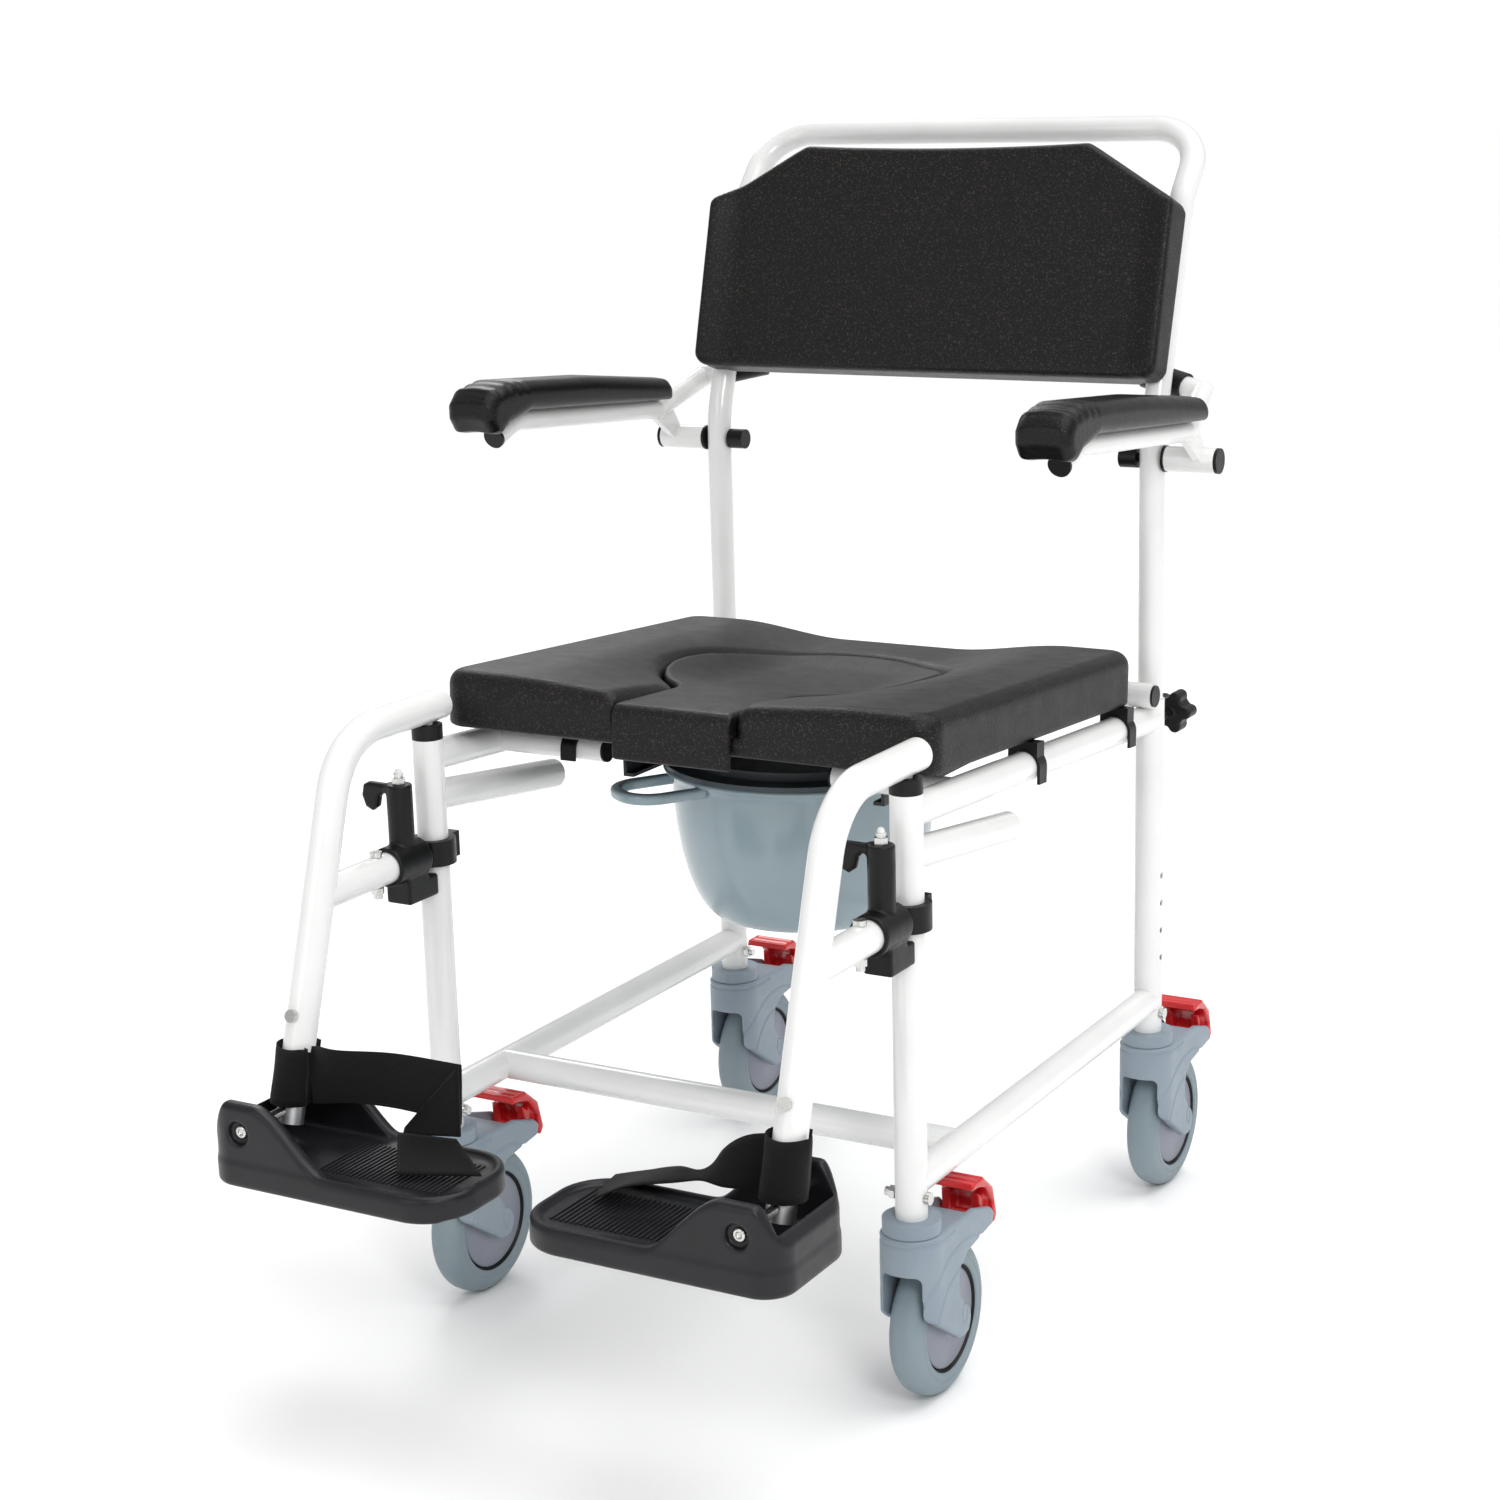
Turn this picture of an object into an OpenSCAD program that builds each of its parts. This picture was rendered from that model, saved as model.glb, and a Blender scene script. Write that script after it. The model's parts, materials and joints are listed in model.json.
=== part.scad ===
// Mobile commode chair with swing-away footrests, swing-up arms and a removable pan.
// Front faces -Y, +X is the right-hand side seen from the front, Z = 0 is the floor.

/* [Frame] */
// Distance between the centre lines of the left and right legs
leg_span = 434; // [380:2:500]
// Distance from the front legs to the rear legs
leg_depth = 476; // [430:2:560]
// Outer diameter of the frame tube
tube_d = 25.4; // [24:0.2:28]
// Wall of the frame tube
tube_wall = 1.5; // [1:0.1:2]
// Height of the lower rails above the floor
lower_rail_z = 189; // [184:1:240]
// How far the cross bar stands behind the front legs
cross_bar_y = 84; // [60:1:140]
// Reach of the rear-pointing side stubs behind the front legs
stub_reach = 178; // [100:1:220]
// Height of the side stubs at the front legs
stub_z = 447; // [425:1:455]

/* [Seat] */
// Height of the seat rails at the front legs
seat_rail_z = 480; // [460:1:560]
// Slope of the seat rails down to the rear
seat_tilt = 3.5; // [0:0.5:5]
// Width of the seat
seat_w = 448; // [400:2:480]
// Depth of the seat
seat_len = 399; // [360:1:420]
// Thickness of the seat
seat_t = 47; // [40:1:60]
// Radius of the round opening of the seat
seat_hole_r = 118; // [95:1:125]
// Half width of the front channel of the seat
channel_half_w = 55; // [40:1:65]

/* [Pan] */
// Radius of the pan at its rim
pan_r = 119; // [95:1:122]
// Depth of the pan
pan_h = 132; // [100:1:150]
// Wall of the pan
pan_wall = 3; // [2:0.5:4]

/* [Back] */
// Diameter of the tube of the back frame and the push bar
grip_d = 22; // [19:0.5:22]
// Height at which the back frame leans back
recline_z = 700; // [690:5:740]
// Lean of the back
back_lean = 17.5; // [8:0.5:20]
// Height of the push bar
bar_z = 956; // [940:2:1000]
// How far the push bar stands behind the rear legs
bar_reach = 114; // [100:1:140]
// Width of the backrest
back_w = 456; // [400:2:470]
// Height of the backrest along its slope
back_h = 206; // [180:2:215]
// Thickness of the backrest
back_t = 38; // [30:1:42]

/* [Arms] */
// Height of the armrest pivot
arm_pivot_z = 681; // [670:1:686]
// Distance of each arm from the leg line, outwards
arm_out = 45; // [40:1:60]
// Diameter of the arm tube
arm_d = 19; // [16:0.5:20]
// Length of the arm pad
pad_len = 296; // [220:2:300]
// Width of the arm pad
pad_w = 48; // [36:1:56]

/* [Footrests] */
// Slope of the footrest tubes from the vertical
hanger_slope = 17.5; // [12:0.5:18]
// Height of the upper footrest tube
hanger_z = 520; // [515:1:525]
// Reach of the upper footrest tube in front of the legs
hanger_reach = 112; // [105:1:130]
// Length of the footplate
plate_len = 222; // [160:2:226]
// Depth of the footplate
plate_depth = 105; // [105:1:140]
// Height of the footplate hinge
plate_hinge_z = 246; // [220:1:250]

/* [Casters] */
// Diameter of the caster wheels
wheel_d = 125; // [100:1:126]
// Width of the caster wheels
wheel_w = 28; // [20:1:30]
// Trail of the caster wheels
trail = 40; // [30:1:42]

/* [Hidden] */
$fn = 48;
eps = 0.5;
run_gap = 0.1;
gap = 0.5;
tube_seam = 0.02;
weld_in = 0.5;
tube_r = tube_d / 2;
bore_r = tube_r - tube_wall;
leg_x = leg_span / 2;
leg_z0 = wheel_d + 36;
grip_r = grip_d / 2;
grip_bore_r = grip_r - tube_wall;
arm_r = arm_d / 2;
bolt_r = 3;
bolt_head_r = 5;
bolt_head_h = 4;
nut_r = 5.5;
nut_h = 5;
nut_cap_r = 3.6;
nut_cap_h = 4;

// Footrest tube: its slope meets the upper tube at the bend's corner
hanger_corner_y = -hanger_reach;
hanger_bend_r = 60;
hanger_rear_y = 19;
function hanger_y(z) = hanger_corner_y - tan(hanger_slope) * (hanger_z - z);
hanger_low_z = 288;
strut_z = 402;
strut_rear_y = -34;
lock_bolt_z = 313;

// Footplate around the lower end of the sliding tube
slide_tube_r = bore_r - run_gap * 2;
slide_tube_wall = 1.5;
slide_top_z = 372;
slide_low_z = plate_hinge_z - 12;
hinge_y = hanger_y(plate_hinge_z);
plate_front_y = hinge_y - 64;
plate_rear_y = plate_front_y + plate_depth;
plate_outer = 33;
plate_bottom = plate_hinge_z - 43;
plate_t = 22;
plate_skin = 4;
ear_front_y = hinge_y - 19;
ear_rear_y = plate_rear_y - 12;
ear_r = 23;
hinge_bolt_r = 4;

// Overall length, used to centre the chair over its origin
bar_y = leg_depth + bar_reach;
mid_y = (bar_y + grip_r + plate_front_y) / 2;

// Front legs end under the footrest tubes, rear legs end above the seat rails
leg_cap_h = 12;
front_leg_top = hanger_z - tube_r - gap - leg_cap_h;
rear_leg_top = seat_rail_z - tan(seat_tilt) * leg_depth + tube_r + 5;
pivot_pin_r = 5;
pivot_pin_len = 40;
side_stub_drop = 20;

// Seat, in the tilted frame of the rails: u runs back, w runs up from the rail's axis
seat_front = 25;
seat_w0 = tube_r + 8.3;
seat_corner_r = 20;
seat_ledge_t = 14;
seat_ledge_w = 15;
hole_u = 235;
insert_gap = 1.2;
lap_t = 6;
lap_low = 11;
stub_tube_r = 9.5;
seat_stub_y = 95;
seat_stub_in = 107;
clip_t = 2.8;
clip_len = 14;
clip_us = [212, 400];
clip_stub_x = 137;
back_bar_r = 11;
back_bar_gap = 0.2;

// Pan, its lid and the runners that carry its lip
lip_h = 4;
lip_w = 7;
pan_low_r = 72;
rim_z = seat_rail_z - 33;
pan_steps = 10;
handle_turn = -33;
handle_len = 56;
handle_w = 70;
handle_t = 8;
handle_bar = 9;
lid_h = 11;
runner_t = 3;
runner_lip = 7;
runner_y0 = hole_u - 90;
runner_y1 = hole_u + 110;

// Back frame
bar_corner_r = 45;
recline_r = 120;
upper_bend_r = 60;
upper_bend_z = recline_z + 195;
upper_bend_y = leg_depth + tan(back_lean) * (upper_bend_z - recline_z);
back_tube_low = rear_leg_top - 90;
back_z0 = recline_z + 52;
cover_front = 38;
back_shoulder_h = 54;
back_shoulder_w = 86;
bar_run = [bar_y - upper_bend_y, bar_z - upper_bend_z];
bar_rise = atan2(bar_run.y, bar_run.x);
bar_start = [bar_y, bar_z] - bar_corner_r * bar_run / norm(bar_run);
knob_z = 446;
knob_y = leg_depth + 56;
knob_r = 19;
knob_h = 20;
knob_lobes = 5;
stud_r = 4;

// Arms
arm_x = leg_x + arm_out;
arm_pivot_y = leg_depth;
pivot_tube_r = 11;
pivot_gap = 3;
pivot_tube_x0 = leg_x + grip_r + pivot_gap;
pivot_tube_x1 = arm_x + 14;
arm_rear_y = leg_depth - 36;
arm_rear_z = arm_pivot_z + 30;
pad_rear_y = arm_rear_y - 4;
pad_front_y = pad_rear_y - pad_len;
arm_knee_y = pad_front_y + 66;
arm_rise = 16;
arm_front_y = arm_knee_y - 28;
arm_drop = 11;
arm_bend_r = 40;
tail_out = arm_out - 12;
tail_y = leg_depth + 32;
tail_z = arm_pivot_z + 54;
bumper_out = -22;
bumper_y = leg_depth + 46;
bumper_z = arm_pivot_z + 66;
bumper_r = 12;
arm_knob_r = 9;
arm_knob_len = 16;
washer_t = 1.5;

// Footrest latch on the front leg
collar_r = 18.5;
collar_z0 = 391;
collar_h = 21;
latch_y = -41;
socket_r = 16.5;
socket_y0 = -64;
socket_y1 = -22;
housing_r = 10.5;
housing_top = 458;
lever_hub_h = 8;
lever_reach = 36;
lever_drop = 22;
jaw_z0 = 368;
jaw_z1 = 386;
strut_bolt_y = -76;

// Casters
ring_r = 23;
ring_h = 11;
spigot_r = 6;
neck_r = 24;
neck_z0 = wheel_d + 3;
neck_z1 = leg_z0 - ring_h - gap;
fork_half_w = 25;
fork_arm_t = 8;
axle_r = 5;
pin_y = trail + 50;
pin_z = wheel_d + 6;
pin_r = 2.5;
pedal_half_w = 22;
cheek_half_w = fork_half_w - fork_arm_t - gap;
stem_len = 44;
stem_bolt_z = leg_z0 + 17;

SIDES = [-1, 1];
CORNERS = [[-1, 0], [1, 0], [-1, leg_depth], [1, leg_depth]];

// --- places -----------------------------------------------------------------

// The chair's own frame: Y = 0 at the front legs
module chair() translate([0, -mid_y, 0]) children();

// Drawn for the right side, mirrored for the left
module on_side(s) chair() scale_side(s) children();
module scale_side(s) if (s > 0) children(); else mirror([1, 0, 0]) children();

// A flat drawing whose x is depth and y is height, extruded towards +X
module side_plane(x) translate([x, 0, 0]) rotate([90, 0, 90]) children();

// The seat's frame: tilted with the rails
module seat_plane() chair() translate([0, 0, seat_rail_z]) rotate([-seat_tilt, 0, 0]) children();

module along_x(x0, x1, r) translate([x0, 0, 0]) rotate([0, 90, 0]) cylinder(r = r, h = x1 - x0);
module along_y(y0, y1, r) translate([0, y0, 0]) rotate([-90, 0, 0]) cylinder(r = r, h = y1 - y0);
module along_z(z0, z1, r) translate([0, 0, z0]) cylinder(r = r, h = z1 - z0);

// --- bent round bar in a plane ------------------------------------------------

function unit(v) = v / norm(v);
function turn(a, b, c) = atan2(cross(unit(b - a), unit(c - b)), unit(b - a) * unit(c - b));
function trim(a, b, c, r) = r * tan(abs(turn(a, b, c)) / 2);

module straight(a, b, r)
    translate([a.x, a.y, 0]) rotate([0, 90, atan2(b.y - a.y, b.x - a.x)])
        cylinder(r = r, h = norm(b - a));

module bend(a, b, c, bend_r, r) {
    t = turn(a, b, c);
    u = unit(b - a);
    start = b - u * trim(a, b, c, bend_r);
    middle = start + [-u.y, u.x] * sign(t) * bend_r;
    a0 = atan2(start.y - middle.y, start.x - middle.x);
    translate([middle.x, middle.y, 0]) rotate([0, 0, min(a0, a0 + t)])
        rotate_extrude(angle = abs(t)) translate([bend_r, 0]) circle(r);
}

// p: the corners of the path, bends: one radius for each inner corner, seam: gap beside each bend
module bent_bar(p, bends, r, seam = 0) {
    n = len(p);
    for (i = [0 : n - 2]) {
        u = unit(p[i + 1] - p[i]);
        a = i == 0 ? p[0] : p[i] + u * (trim(p[i - 1], p[i], p[i + 1], bends[i - 1]) + seam);
        b = i == n - 2 ? p[n - 1] : p[i + 1] - u * (trim(p[i], p[i + 1], p[i + 2], bends[i]) + seam);
        straight(a, b, r);
    }
    for (i = [1 : n - 2]) bend(p[i - 1], p[i], p[i + 1], bends[i - 1], r);
}

// --- legs and rails -------------------------------------------------------------

module stem_hole() translate([leg_x, 0, stem_bolt_z]) rotate([0, 90, 0])
    cylinder(r = bolt_r + run_gap, h = tube_d * 2, center = true);

module front_leg(s) color("whitesmoke") on_side(s) difference() {
    translate([leg_x, 0, 0]) along_z(leg_z0, front_leg_top, tube_r);
    translate([leg_x, 0, 0]) along_z(leg_z0 - eps, front_leg_top + eps, bore_r);
    stem_hole();
}

module rear_leg(s) color("whitesmoke") on_side(s) translate([0, leg_depth, 0]) difference() {
    translate([leg_x, 0, 0]) along_z(leg_z0, rear_leg_top, tube_r);
    translate([leg_x, 0, 0]) along_z(leg_z0 - eps, rear_leg_top + eps, bore_r);
    stem_hole();
    for (i = [0 : 3]) translate([leg_x, 0, 231 + i * 25.5]) along_x(0, tube_d, bolt_r);
    translate([leg_x, 0, knob_z]) along_y(0, tube_d, stud_r + run_gap);
}

// A hollow bar along Y between the legs, coped to their tubes
module side_bar(r, wall, len = leg_depth) difference() {
    along_y(0, len, r);
    along_y(-eps, leg_depth * 2, r - wall);
}

module leg_cores(r = tube_r) for (y = [0, leg_depth]) translate([leg_x, y, 0]) cylinder(r = r, h = bar_z);

module lower_rails() color("whitesmoke") for (s = SIDES) on_side(s) difference() {
    translate([leg_x, 0, lower_rail_z]) side_bar(tube_r, tube_wall);
    leg_cores();
}

// Their ends are welded into the walls of the legs
module upper_rails() color("whitesmoke") for (s = SIDES) on_side(s) difference() {
    translate([leg_x, 0, seat_rail_z]) rotate([-seat_tilt, 0, 0])
        side_bar(tube_r, tube_wall, leg_depth / cos(seat_tilt));
    leg_cores(tube_r - weld_in);
}

// Its ends are welded into the walls of the lower rails
module cross_bar() color("whitesmoke") chair() translate([0, cross_bar_y, lower_rail_z]) difference() {
    along_x(-leg_x, leg_x, tube_r);
    along_x(-leg_x - eps, leg_x + eps, bore_r);
    for (s = SIDES) translate([s * leg_x, 0, 0]) along_y(-tube_d, tube_d, bore_r);
}

module side_stubs() color("whitesmoke") for (s = SIDES) on_side(s) difference() {
    translate([leg_x, 0, stub_z]) rotate([-seat_tilt * 2, 0, 0]) difference() {
        along_y(0, stub_reach, tube_r);
        along_y(-eps, stub_reach - tube_wall, bore_r);
    }
    leg_cores();
}

module seat_stubs() color("whitesmoke") for (s = SIDES) seat_plane() scale_side(s) difference() {
    translate([0, seat_stub_y, 0]) along_x(seat_stub_in, leg_x, stub_tube_r);
    translate([0, seat_stub_y, 0]) along_x(seat_stub_in - eps, leg_x, stub_tube_r - tube_wall);
    translate([leg_x, 0, 0]) along_y(0, leg_depth, tube_r);
}

back_bar_y = leg_depth - tube_r - back_bar_r - back_bar_gap;
back_bar_w = tube_r + back_bar_r + back_bar_gap;
module seat_back_bar() color("whitesmoke") seat_plane() translate([0, back_bar_y, back_bar_w])
    difference() {
        along_x(-leg_x - tube_r, leg_x + tube_r, back_bar_r);
        along_x(-leg_x - tube_d, leg_x + tube_d, back_bar_r - tube_wall);
    }

// --- back -------------------------------------------------------------------------

// One upright tube of the back
module cane(r, seam = 0) side_plane(leg_x) bent_bar([[leg_depth, back_tube_low], [leg_depth, recline_z],
    [upper_bend_y, upper_bend_z], bar_start], [recline_r, upper_bend_r], r, seam);

module back_canes() color("whitesmoke") for (s = SIDES) on_side(s) difference() {
    cane(grip_r, tube_seam);
    cane(grip_bore_r, tube_seam);
    translate([0, leg_depth, arm_pivot_z]) along_x(leg_x - tube_d, leg_x + tube_d, stud_r + run_gap);
}

module push_bar_run(r) {
    for (s = SIDES) scale_side(s) translate([leg_x, bar_y, bar_z]) rotate([bar_rise, 0, 0])
        bend([0, -bar_corner_r * 2], [0, 0], [-bar_corner_r * 2, 0], bar_corner_r, r);
    translate([0, bar_y, bar_z]) along_x(bar_corner_r - leg_x, leg_x - bar_corner_r, r);
}

module push_bar() color("whitesmoke") chair() difference() {
    push_bar_run(grip_r);
    push_bar_run(grip_bore_r);
}

// The backrest's plane: x across, y up its slope, its front face at z = 0
module back_plane() chair()
    translate([0, leg_depth - cover_front / cos(back_lean) + tan(back_lean) * (back_z0 - recline_z), back_z0])
        rotate([90 - back_lean, 0, 0]) mirror([0, 0, 1]) children();

groove_r = grip_r + gap;
back_half = back_w / 2;
back_outline = [[-back_half, 0], [back_half, 0], [back_half, back_h - back_shoulder_h],
    [back_half - back_shoulder_w, back_h], [back_shoulder_w - back_half, back_h],
    [-back_half, back_h - back_shoulder_h]];

module backrest() color([0.1, 0.1, 0.1]) difference() {
    back_plane() linear_extrude(back_t) polygon(back_outline);
    for (s = SIDES) back_plane() translate([s * leg_x - groove_r, -eps, cover_front - groove_r])
        cube([groove_r * 2, back_h, back_t]);
}

module star_knob(s) color([0.08, 0.08, 0.08]) on_side(s) translate([leg_x, 0, knob_z]) {
    along_y(knob_y - knob_h / 2, knob_y + knob_h / 2, knob_r * 0.72);
    for (i = [0 : knob_lobes - 1]) rotate([0, i * 360 / knob_lobes, 0])
        translate([knob_r * 0.72, 0, 0]) along_y(knob_y - knob_h / 2, knob_y + knob_h / 2, knob_r * 0.3);
    along_y(leg_depth + bore_r + gap, knob_y, stud_r);
}

// --- fittings on the frame ------------------------------------------------------------

module tube_caps() color([0.08, 0.08, 0.08]) {
    for (s = SIDES) on_side(s) {
        translate([leg_x, 0, 0]) difference() {
            along_z(front_leg_top, front_leg_top + leg_cap_h, tube_r);
            along_z(front_leg_top - eps, hanger_z, pivot_pin_r + run_gap);
        }
    }
    for (s = SIDES) seat_plane() scale_side(s) {
        translate([0, seat_stub_y, 0]) along_x(seat_stub_in - 2, seat_stub_in, stub_tube_r);
        translate([0, back_bar_y, back_bar_w]) along_x(leg_x + tube_r, leg_x + tube_r + 2, back_bar_r - 1.5);
    }
}

module leg_collars() color([0.08, 0.08, 0.08]) for (s = SIDES) on_side(s) translate([leg_x, 0, 0])
    difference() {
        union() {
            along_z(collar_z0, collar_z0 + collar_h, collar_r);
            translate([-7, 0, collar_z0]) cube([14, collar_r + 8, collar_h]);
        }
        along_z(collar_z0 - eps, collar_z0 + collar_h + eps, tube_r);
    }

module caster_stems() color("silver") for (c = CORNERS) chair() translate([c.x * leg_x, c.y, 0]) {
    difference() {
        along_z(leg_z0, leg_z0 + stem_len, bore_r - run_gap);
        translate([0, 0, stem_bolt_z]) along_x(-tube_d, tube_d, bolt_r + run_gap);
    }
    along_z(leg_z0 - ring_h, leg_z0, ring_r);
    along_z(neck_z0 + 2, leg_z0 - ring_h, spigot_r);
}

// A bolt along +Z from z = 0, with its head below and a capped nut at the other end
module capped_bolt(len, r = bolt_r) {
    along_z(0, len, r);
    along_z(-bolt_head_h, 0, bolt_head_r);
    translate([0, 0, len]) cylinder(r = nut_r, h = nut_h, $fn = 6);
    along_z(len + nut_h, len + nut_h + nut_cap_h, nut_cap_r);
}

module stem_bolts() color("silver") for (c = CORNERS) chair() scale_side(c.x)
    translate([leg_x + tube_r, c.y, stem_bolt_z]) rotate([0, -90, 0]) capped_bolt(tube_d);

module arm_pivot_bolts() color([0.08, 0.08, 0.08]) for (s = SIDES) on_side(s)
    translate([0, arm_pivot_y, arm_pivot_z]) {
        along_x(leg_x - grip_r - washer_t - arm_knob_len, leg_x - grip_r - washer_t, arm_knob_r);
        along_x(leg_x - grip_r - washer_t, pivot_tube_x1 - 4, stud_r);
    }

// --- seat, pan and lid --------------------------------------------------------------------

module rounded_plate(w, d, r) {
    translate([-w / 2 + r, 0]) square([w - 2 * r, d]);
    translate([-w / 2, r]) square([w, d - 2 * r]);
    for (x = [-w / 2 + r, w / 2 - r], y = [r, d - r]) translate([x, y]) circle(r);
}

// The opening and its front channel
module seat_hole(r, half_w) {
    translate([0, hole_u]) circle(r);
    translate([-half_w, 0]) square([half_w * 2, hole_u]);
}

module seat() color([0.1, 0.1, 0.1]) seat_plane() translate([0, 0, seat_w0]) difference() {
    translate([0, seat_front, 0]) linear_extrude(seat_t) rounded_plate(seat_w, seat_len, seat_corner_r);
    translate([0, 0, seat_ledge_t]) linear_extrude(seat_t) seat_hole(seat_hole_r, channel_half_w);
    translate([0, 0, -eps]) linear_extrude(seat_t)
        seat_hole(seat_hole_r - seat_ledge_w, channel_half_w - seat_ledge_w);
}

module seat_insert() color([0.12, 0.12, 0.12]) seat_plane() translate([0, 0, seat_w0]) {
    half_w = channel_half_w - insert_gap;
    insert_z0 = seat_ledge_t + 0.2;
    difference() {
        translate([0, 0, insert_z0]) linear_extrude(seat_t - insert_z0)
            seat_hole(seat_hole_r - insert_gap, half_w);
        translate([-half_w * 2, -eps, 0]) cube([half_w * 4, seat_front - lap_t - gap + eps, seat_t * 2]);
    }
    translate([-half_w, seat_front - lap_t - gap, -lap_low]) cube([half_w * 2, lap_t, seat_t - eps + lap_low]);
}

// A U-shaped clip around a bar along Y, with a foot up to the seat
module seat_clip(r, len) difference() {
    union() {
        along_y(-len / 2, len / 2, r + clip_t);
        translate([-r - clip_t, -len / 2, -r]) cube([(r + clip_t) * 2, len, r]);
        translate([-r, -len / 2, 0]) cube([r * 2, len, seat_w0]);
    }
    along_y(-len, len, r + gap);
    translate([-r - gap, -len, -r * 3]) cube([(r + gap) * 2, len * 2, r * 3]);
}

module seat_clips() color([0.08, 0.08, 0.08]) seat_plane() for (s = SIDES) {
    for (u = clip_us) translate([s * leg_x, u, 0]) seat_clip(tube_r, clip_len);
    translate([s * clip_stub_x, seat_stub_y, 0]) rotate([0, 0, 90]) seat_clip(stub_tube_r, clip_len);
}

function runner_top(y) = seat_rail_z + (seat_w0 - 1) / cos(seat_tilt) - tan(seat_tilt) * y;
module bucket_runners() color([0.15, 0.16, 0.17]) for (s = SIDES) on_side(s) {
    x0 = pan_r + 1.5;
    z0 = rim_z - lip_h - runner_t - gap;
    translate([x0 - runner_lip, runner_y0, z0]) cube([runner_lip + runner_t, runner_y1 - runner_y0, runner_t]);
    side_plane(x0) linear_extrude(runner_t) polygon([[runner_y0, z0], [runner_y1, z0],
        [runner_y1, runner_top(runner_y1)], [runner_y0, runner_top(runner_y0)]]);
}

// Outer wall of the pan from its flat bottom, up a round flank, to just under the lip
function flank(a, r0, r1, h) = [r0 + (r1 - r0) * sin(a), h * (1 - cos(a))];
function pan_wall_line(d) = [for (i = [0 : pan_steps])
    flank(i * 90 / pan_steps, pan_low_r - d, pan_r - lip_w - d, pan_h - lip_h) + [0, d]];

module pan_body() rotate_extrude() difference() {
    union() {
        polygon(concat([[0, 0]], pan_wall_line(0), [[0, pan_h - lip_h]]));
        translate([0, pan_h - lip_h]) square([pan_r, lip_h]);
    }
    polygon(concat([[0, pan_wall]], pan_wall_line(pan_wall), [[pan_r - lip_w - pan_wall, pan_h * 2], [0, pan_h * 2]]));
}

module handle_plan(d) {
    translate([-handle_w / 2 + d, -pan_r - handle_len + handle_w / 3 + d]) square([handle_w - 2 * d, handle_len]);
    for (s = SIDES) translate([s * (handle_w / 2 - handle_w / 3), -pan_r - handle_len + handle_w / 3])
        circle(handle_w / 3 - d);
    translate([-handle_w / 6, -pan_r - handle_len + d]) square([handle_w / 3, handle_w / 3]);
}

module bucket() color([0.55, 0.64, 0.68]) chair() translate([0, hole_u, rim_z - pan_h]) {
    pan_body();
    rotate([0, 0, handle_turn]) translate([0, 0, pan_h - lip_h - handle_t]) difference() {
        linear_extrude(handle_t) difference() {
            handle_plan(0);
            handle_plan(handle_bar);
        }
        cylinder(r = pan_r - lip_w - pan_wall / 2, h = pan_h, center = true);
    }
}

module bucket_lid() color([0.25, 0.28, 0.31]) chair() translate([0, hole_u, rim_z]) {
    inner_r = pan_r - lip_w - pan_wall - gap * 2;
    along_z(0.2, 4, pan_r - 1);
    along_z(-5, 0.2, inner_r);
    along_z(4, lid_h, inner_r - 10);
}

// --- arms ------------------------------------------------------------------------------------

arm_line = [[arm_front_y, arm_rear_z + arm_rise - arm_drop], [arm_knee_y, arm_rear_z + arm_rise],
    [arm_rear_y, arm_rear_z]];
arm_tail = [[arm_x, arm_rear_y, arm_rear_z], [leg_x + tail_out, tail_y, tail_z],
    [leg_x + bumper_out, bumper_y, bumper_z]];

// A round bar between two points in space
module link(a, b, r) {
    v = b - a;
    translate(a) rotate([0, acos(v.z / norm(v)), atan2(v.y, v.x)]) cylinder(r = r, h = norm(v));
}

module arm_tube(s) color("whitesmoke") on_side(s) difference() {
    union() {
        side_plane(arm_x) bent_bar(arm_line, [arm_bend_r], arm_r, tube_seam);
        link(arm_tail[0], arm_tail[1], arm_r);
        link(arm_tail[1], arm_tail[2], arm_r);
        for (p = [arm_tail[0], arm_tail[1]]) translate(p) sphere(arm_r + gap);
        translate([0, arm_pivot_y, arm_pivot_z]) along_x(pivot_tube_x0, pivot_tube_x1, pivot_tube_r);
        side_plane(arm_x - 3) linear_extrude(6) polygon([[arm_rear_y - 20, arm_rear_z],
            [arm_pivot_y - pivot_tube_r, arm_pivot_z], [arm_pivot_y + 4, arm_pivot_z + 4],
            [arm_rear_y + 18, arm_rear_z + 4]]);
    }
    translate([0, arm_pivot_y, arm_pivot_z]) along_x(0, pivot_tube_x1 - 3, stud_r + run_gap);
}

pad_top_front = arm_rear_z + 54;
pad_top_rear = arm_rear_z + 30;
function arm_top(y) = arm_rear_z + arm_rise * (arm_rear_y - y) / (arm_rear_y - arm_knee_y) + arm_r + gap * 2;
module arm_pad(s) color([0.08, 0.08, 0.08]) on_side(s) side_plane(arm_x - pad_w / 2)
    linear_extrude(pad_w) polygon([
        [pad_rear_y, arm_top(pad_rear_y)], [arm_knee_y, arm_top(arm_knee_y)],
        [arm_knee_y - 34, arm_top(arm_knee_y) - 8], [pad_front_y + 20, pad_top_front - 43],
        [pad_front_y + 8, pad_top_front - 41], [pad_front_y, pad_top_front - 29],
        [pad_front_y, pad_top_front - 16], [pad_front_y + 10, pad_top_front - 5],
        [pad_front_y + 36, pad_top_front], [pad_front_y + pad_len * 0.55, pad_top_front - 9],
        [pad_rear_y - 6, pad_top_rear], [pad_rear_y, pad_top_rear - 6]]);

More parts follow.
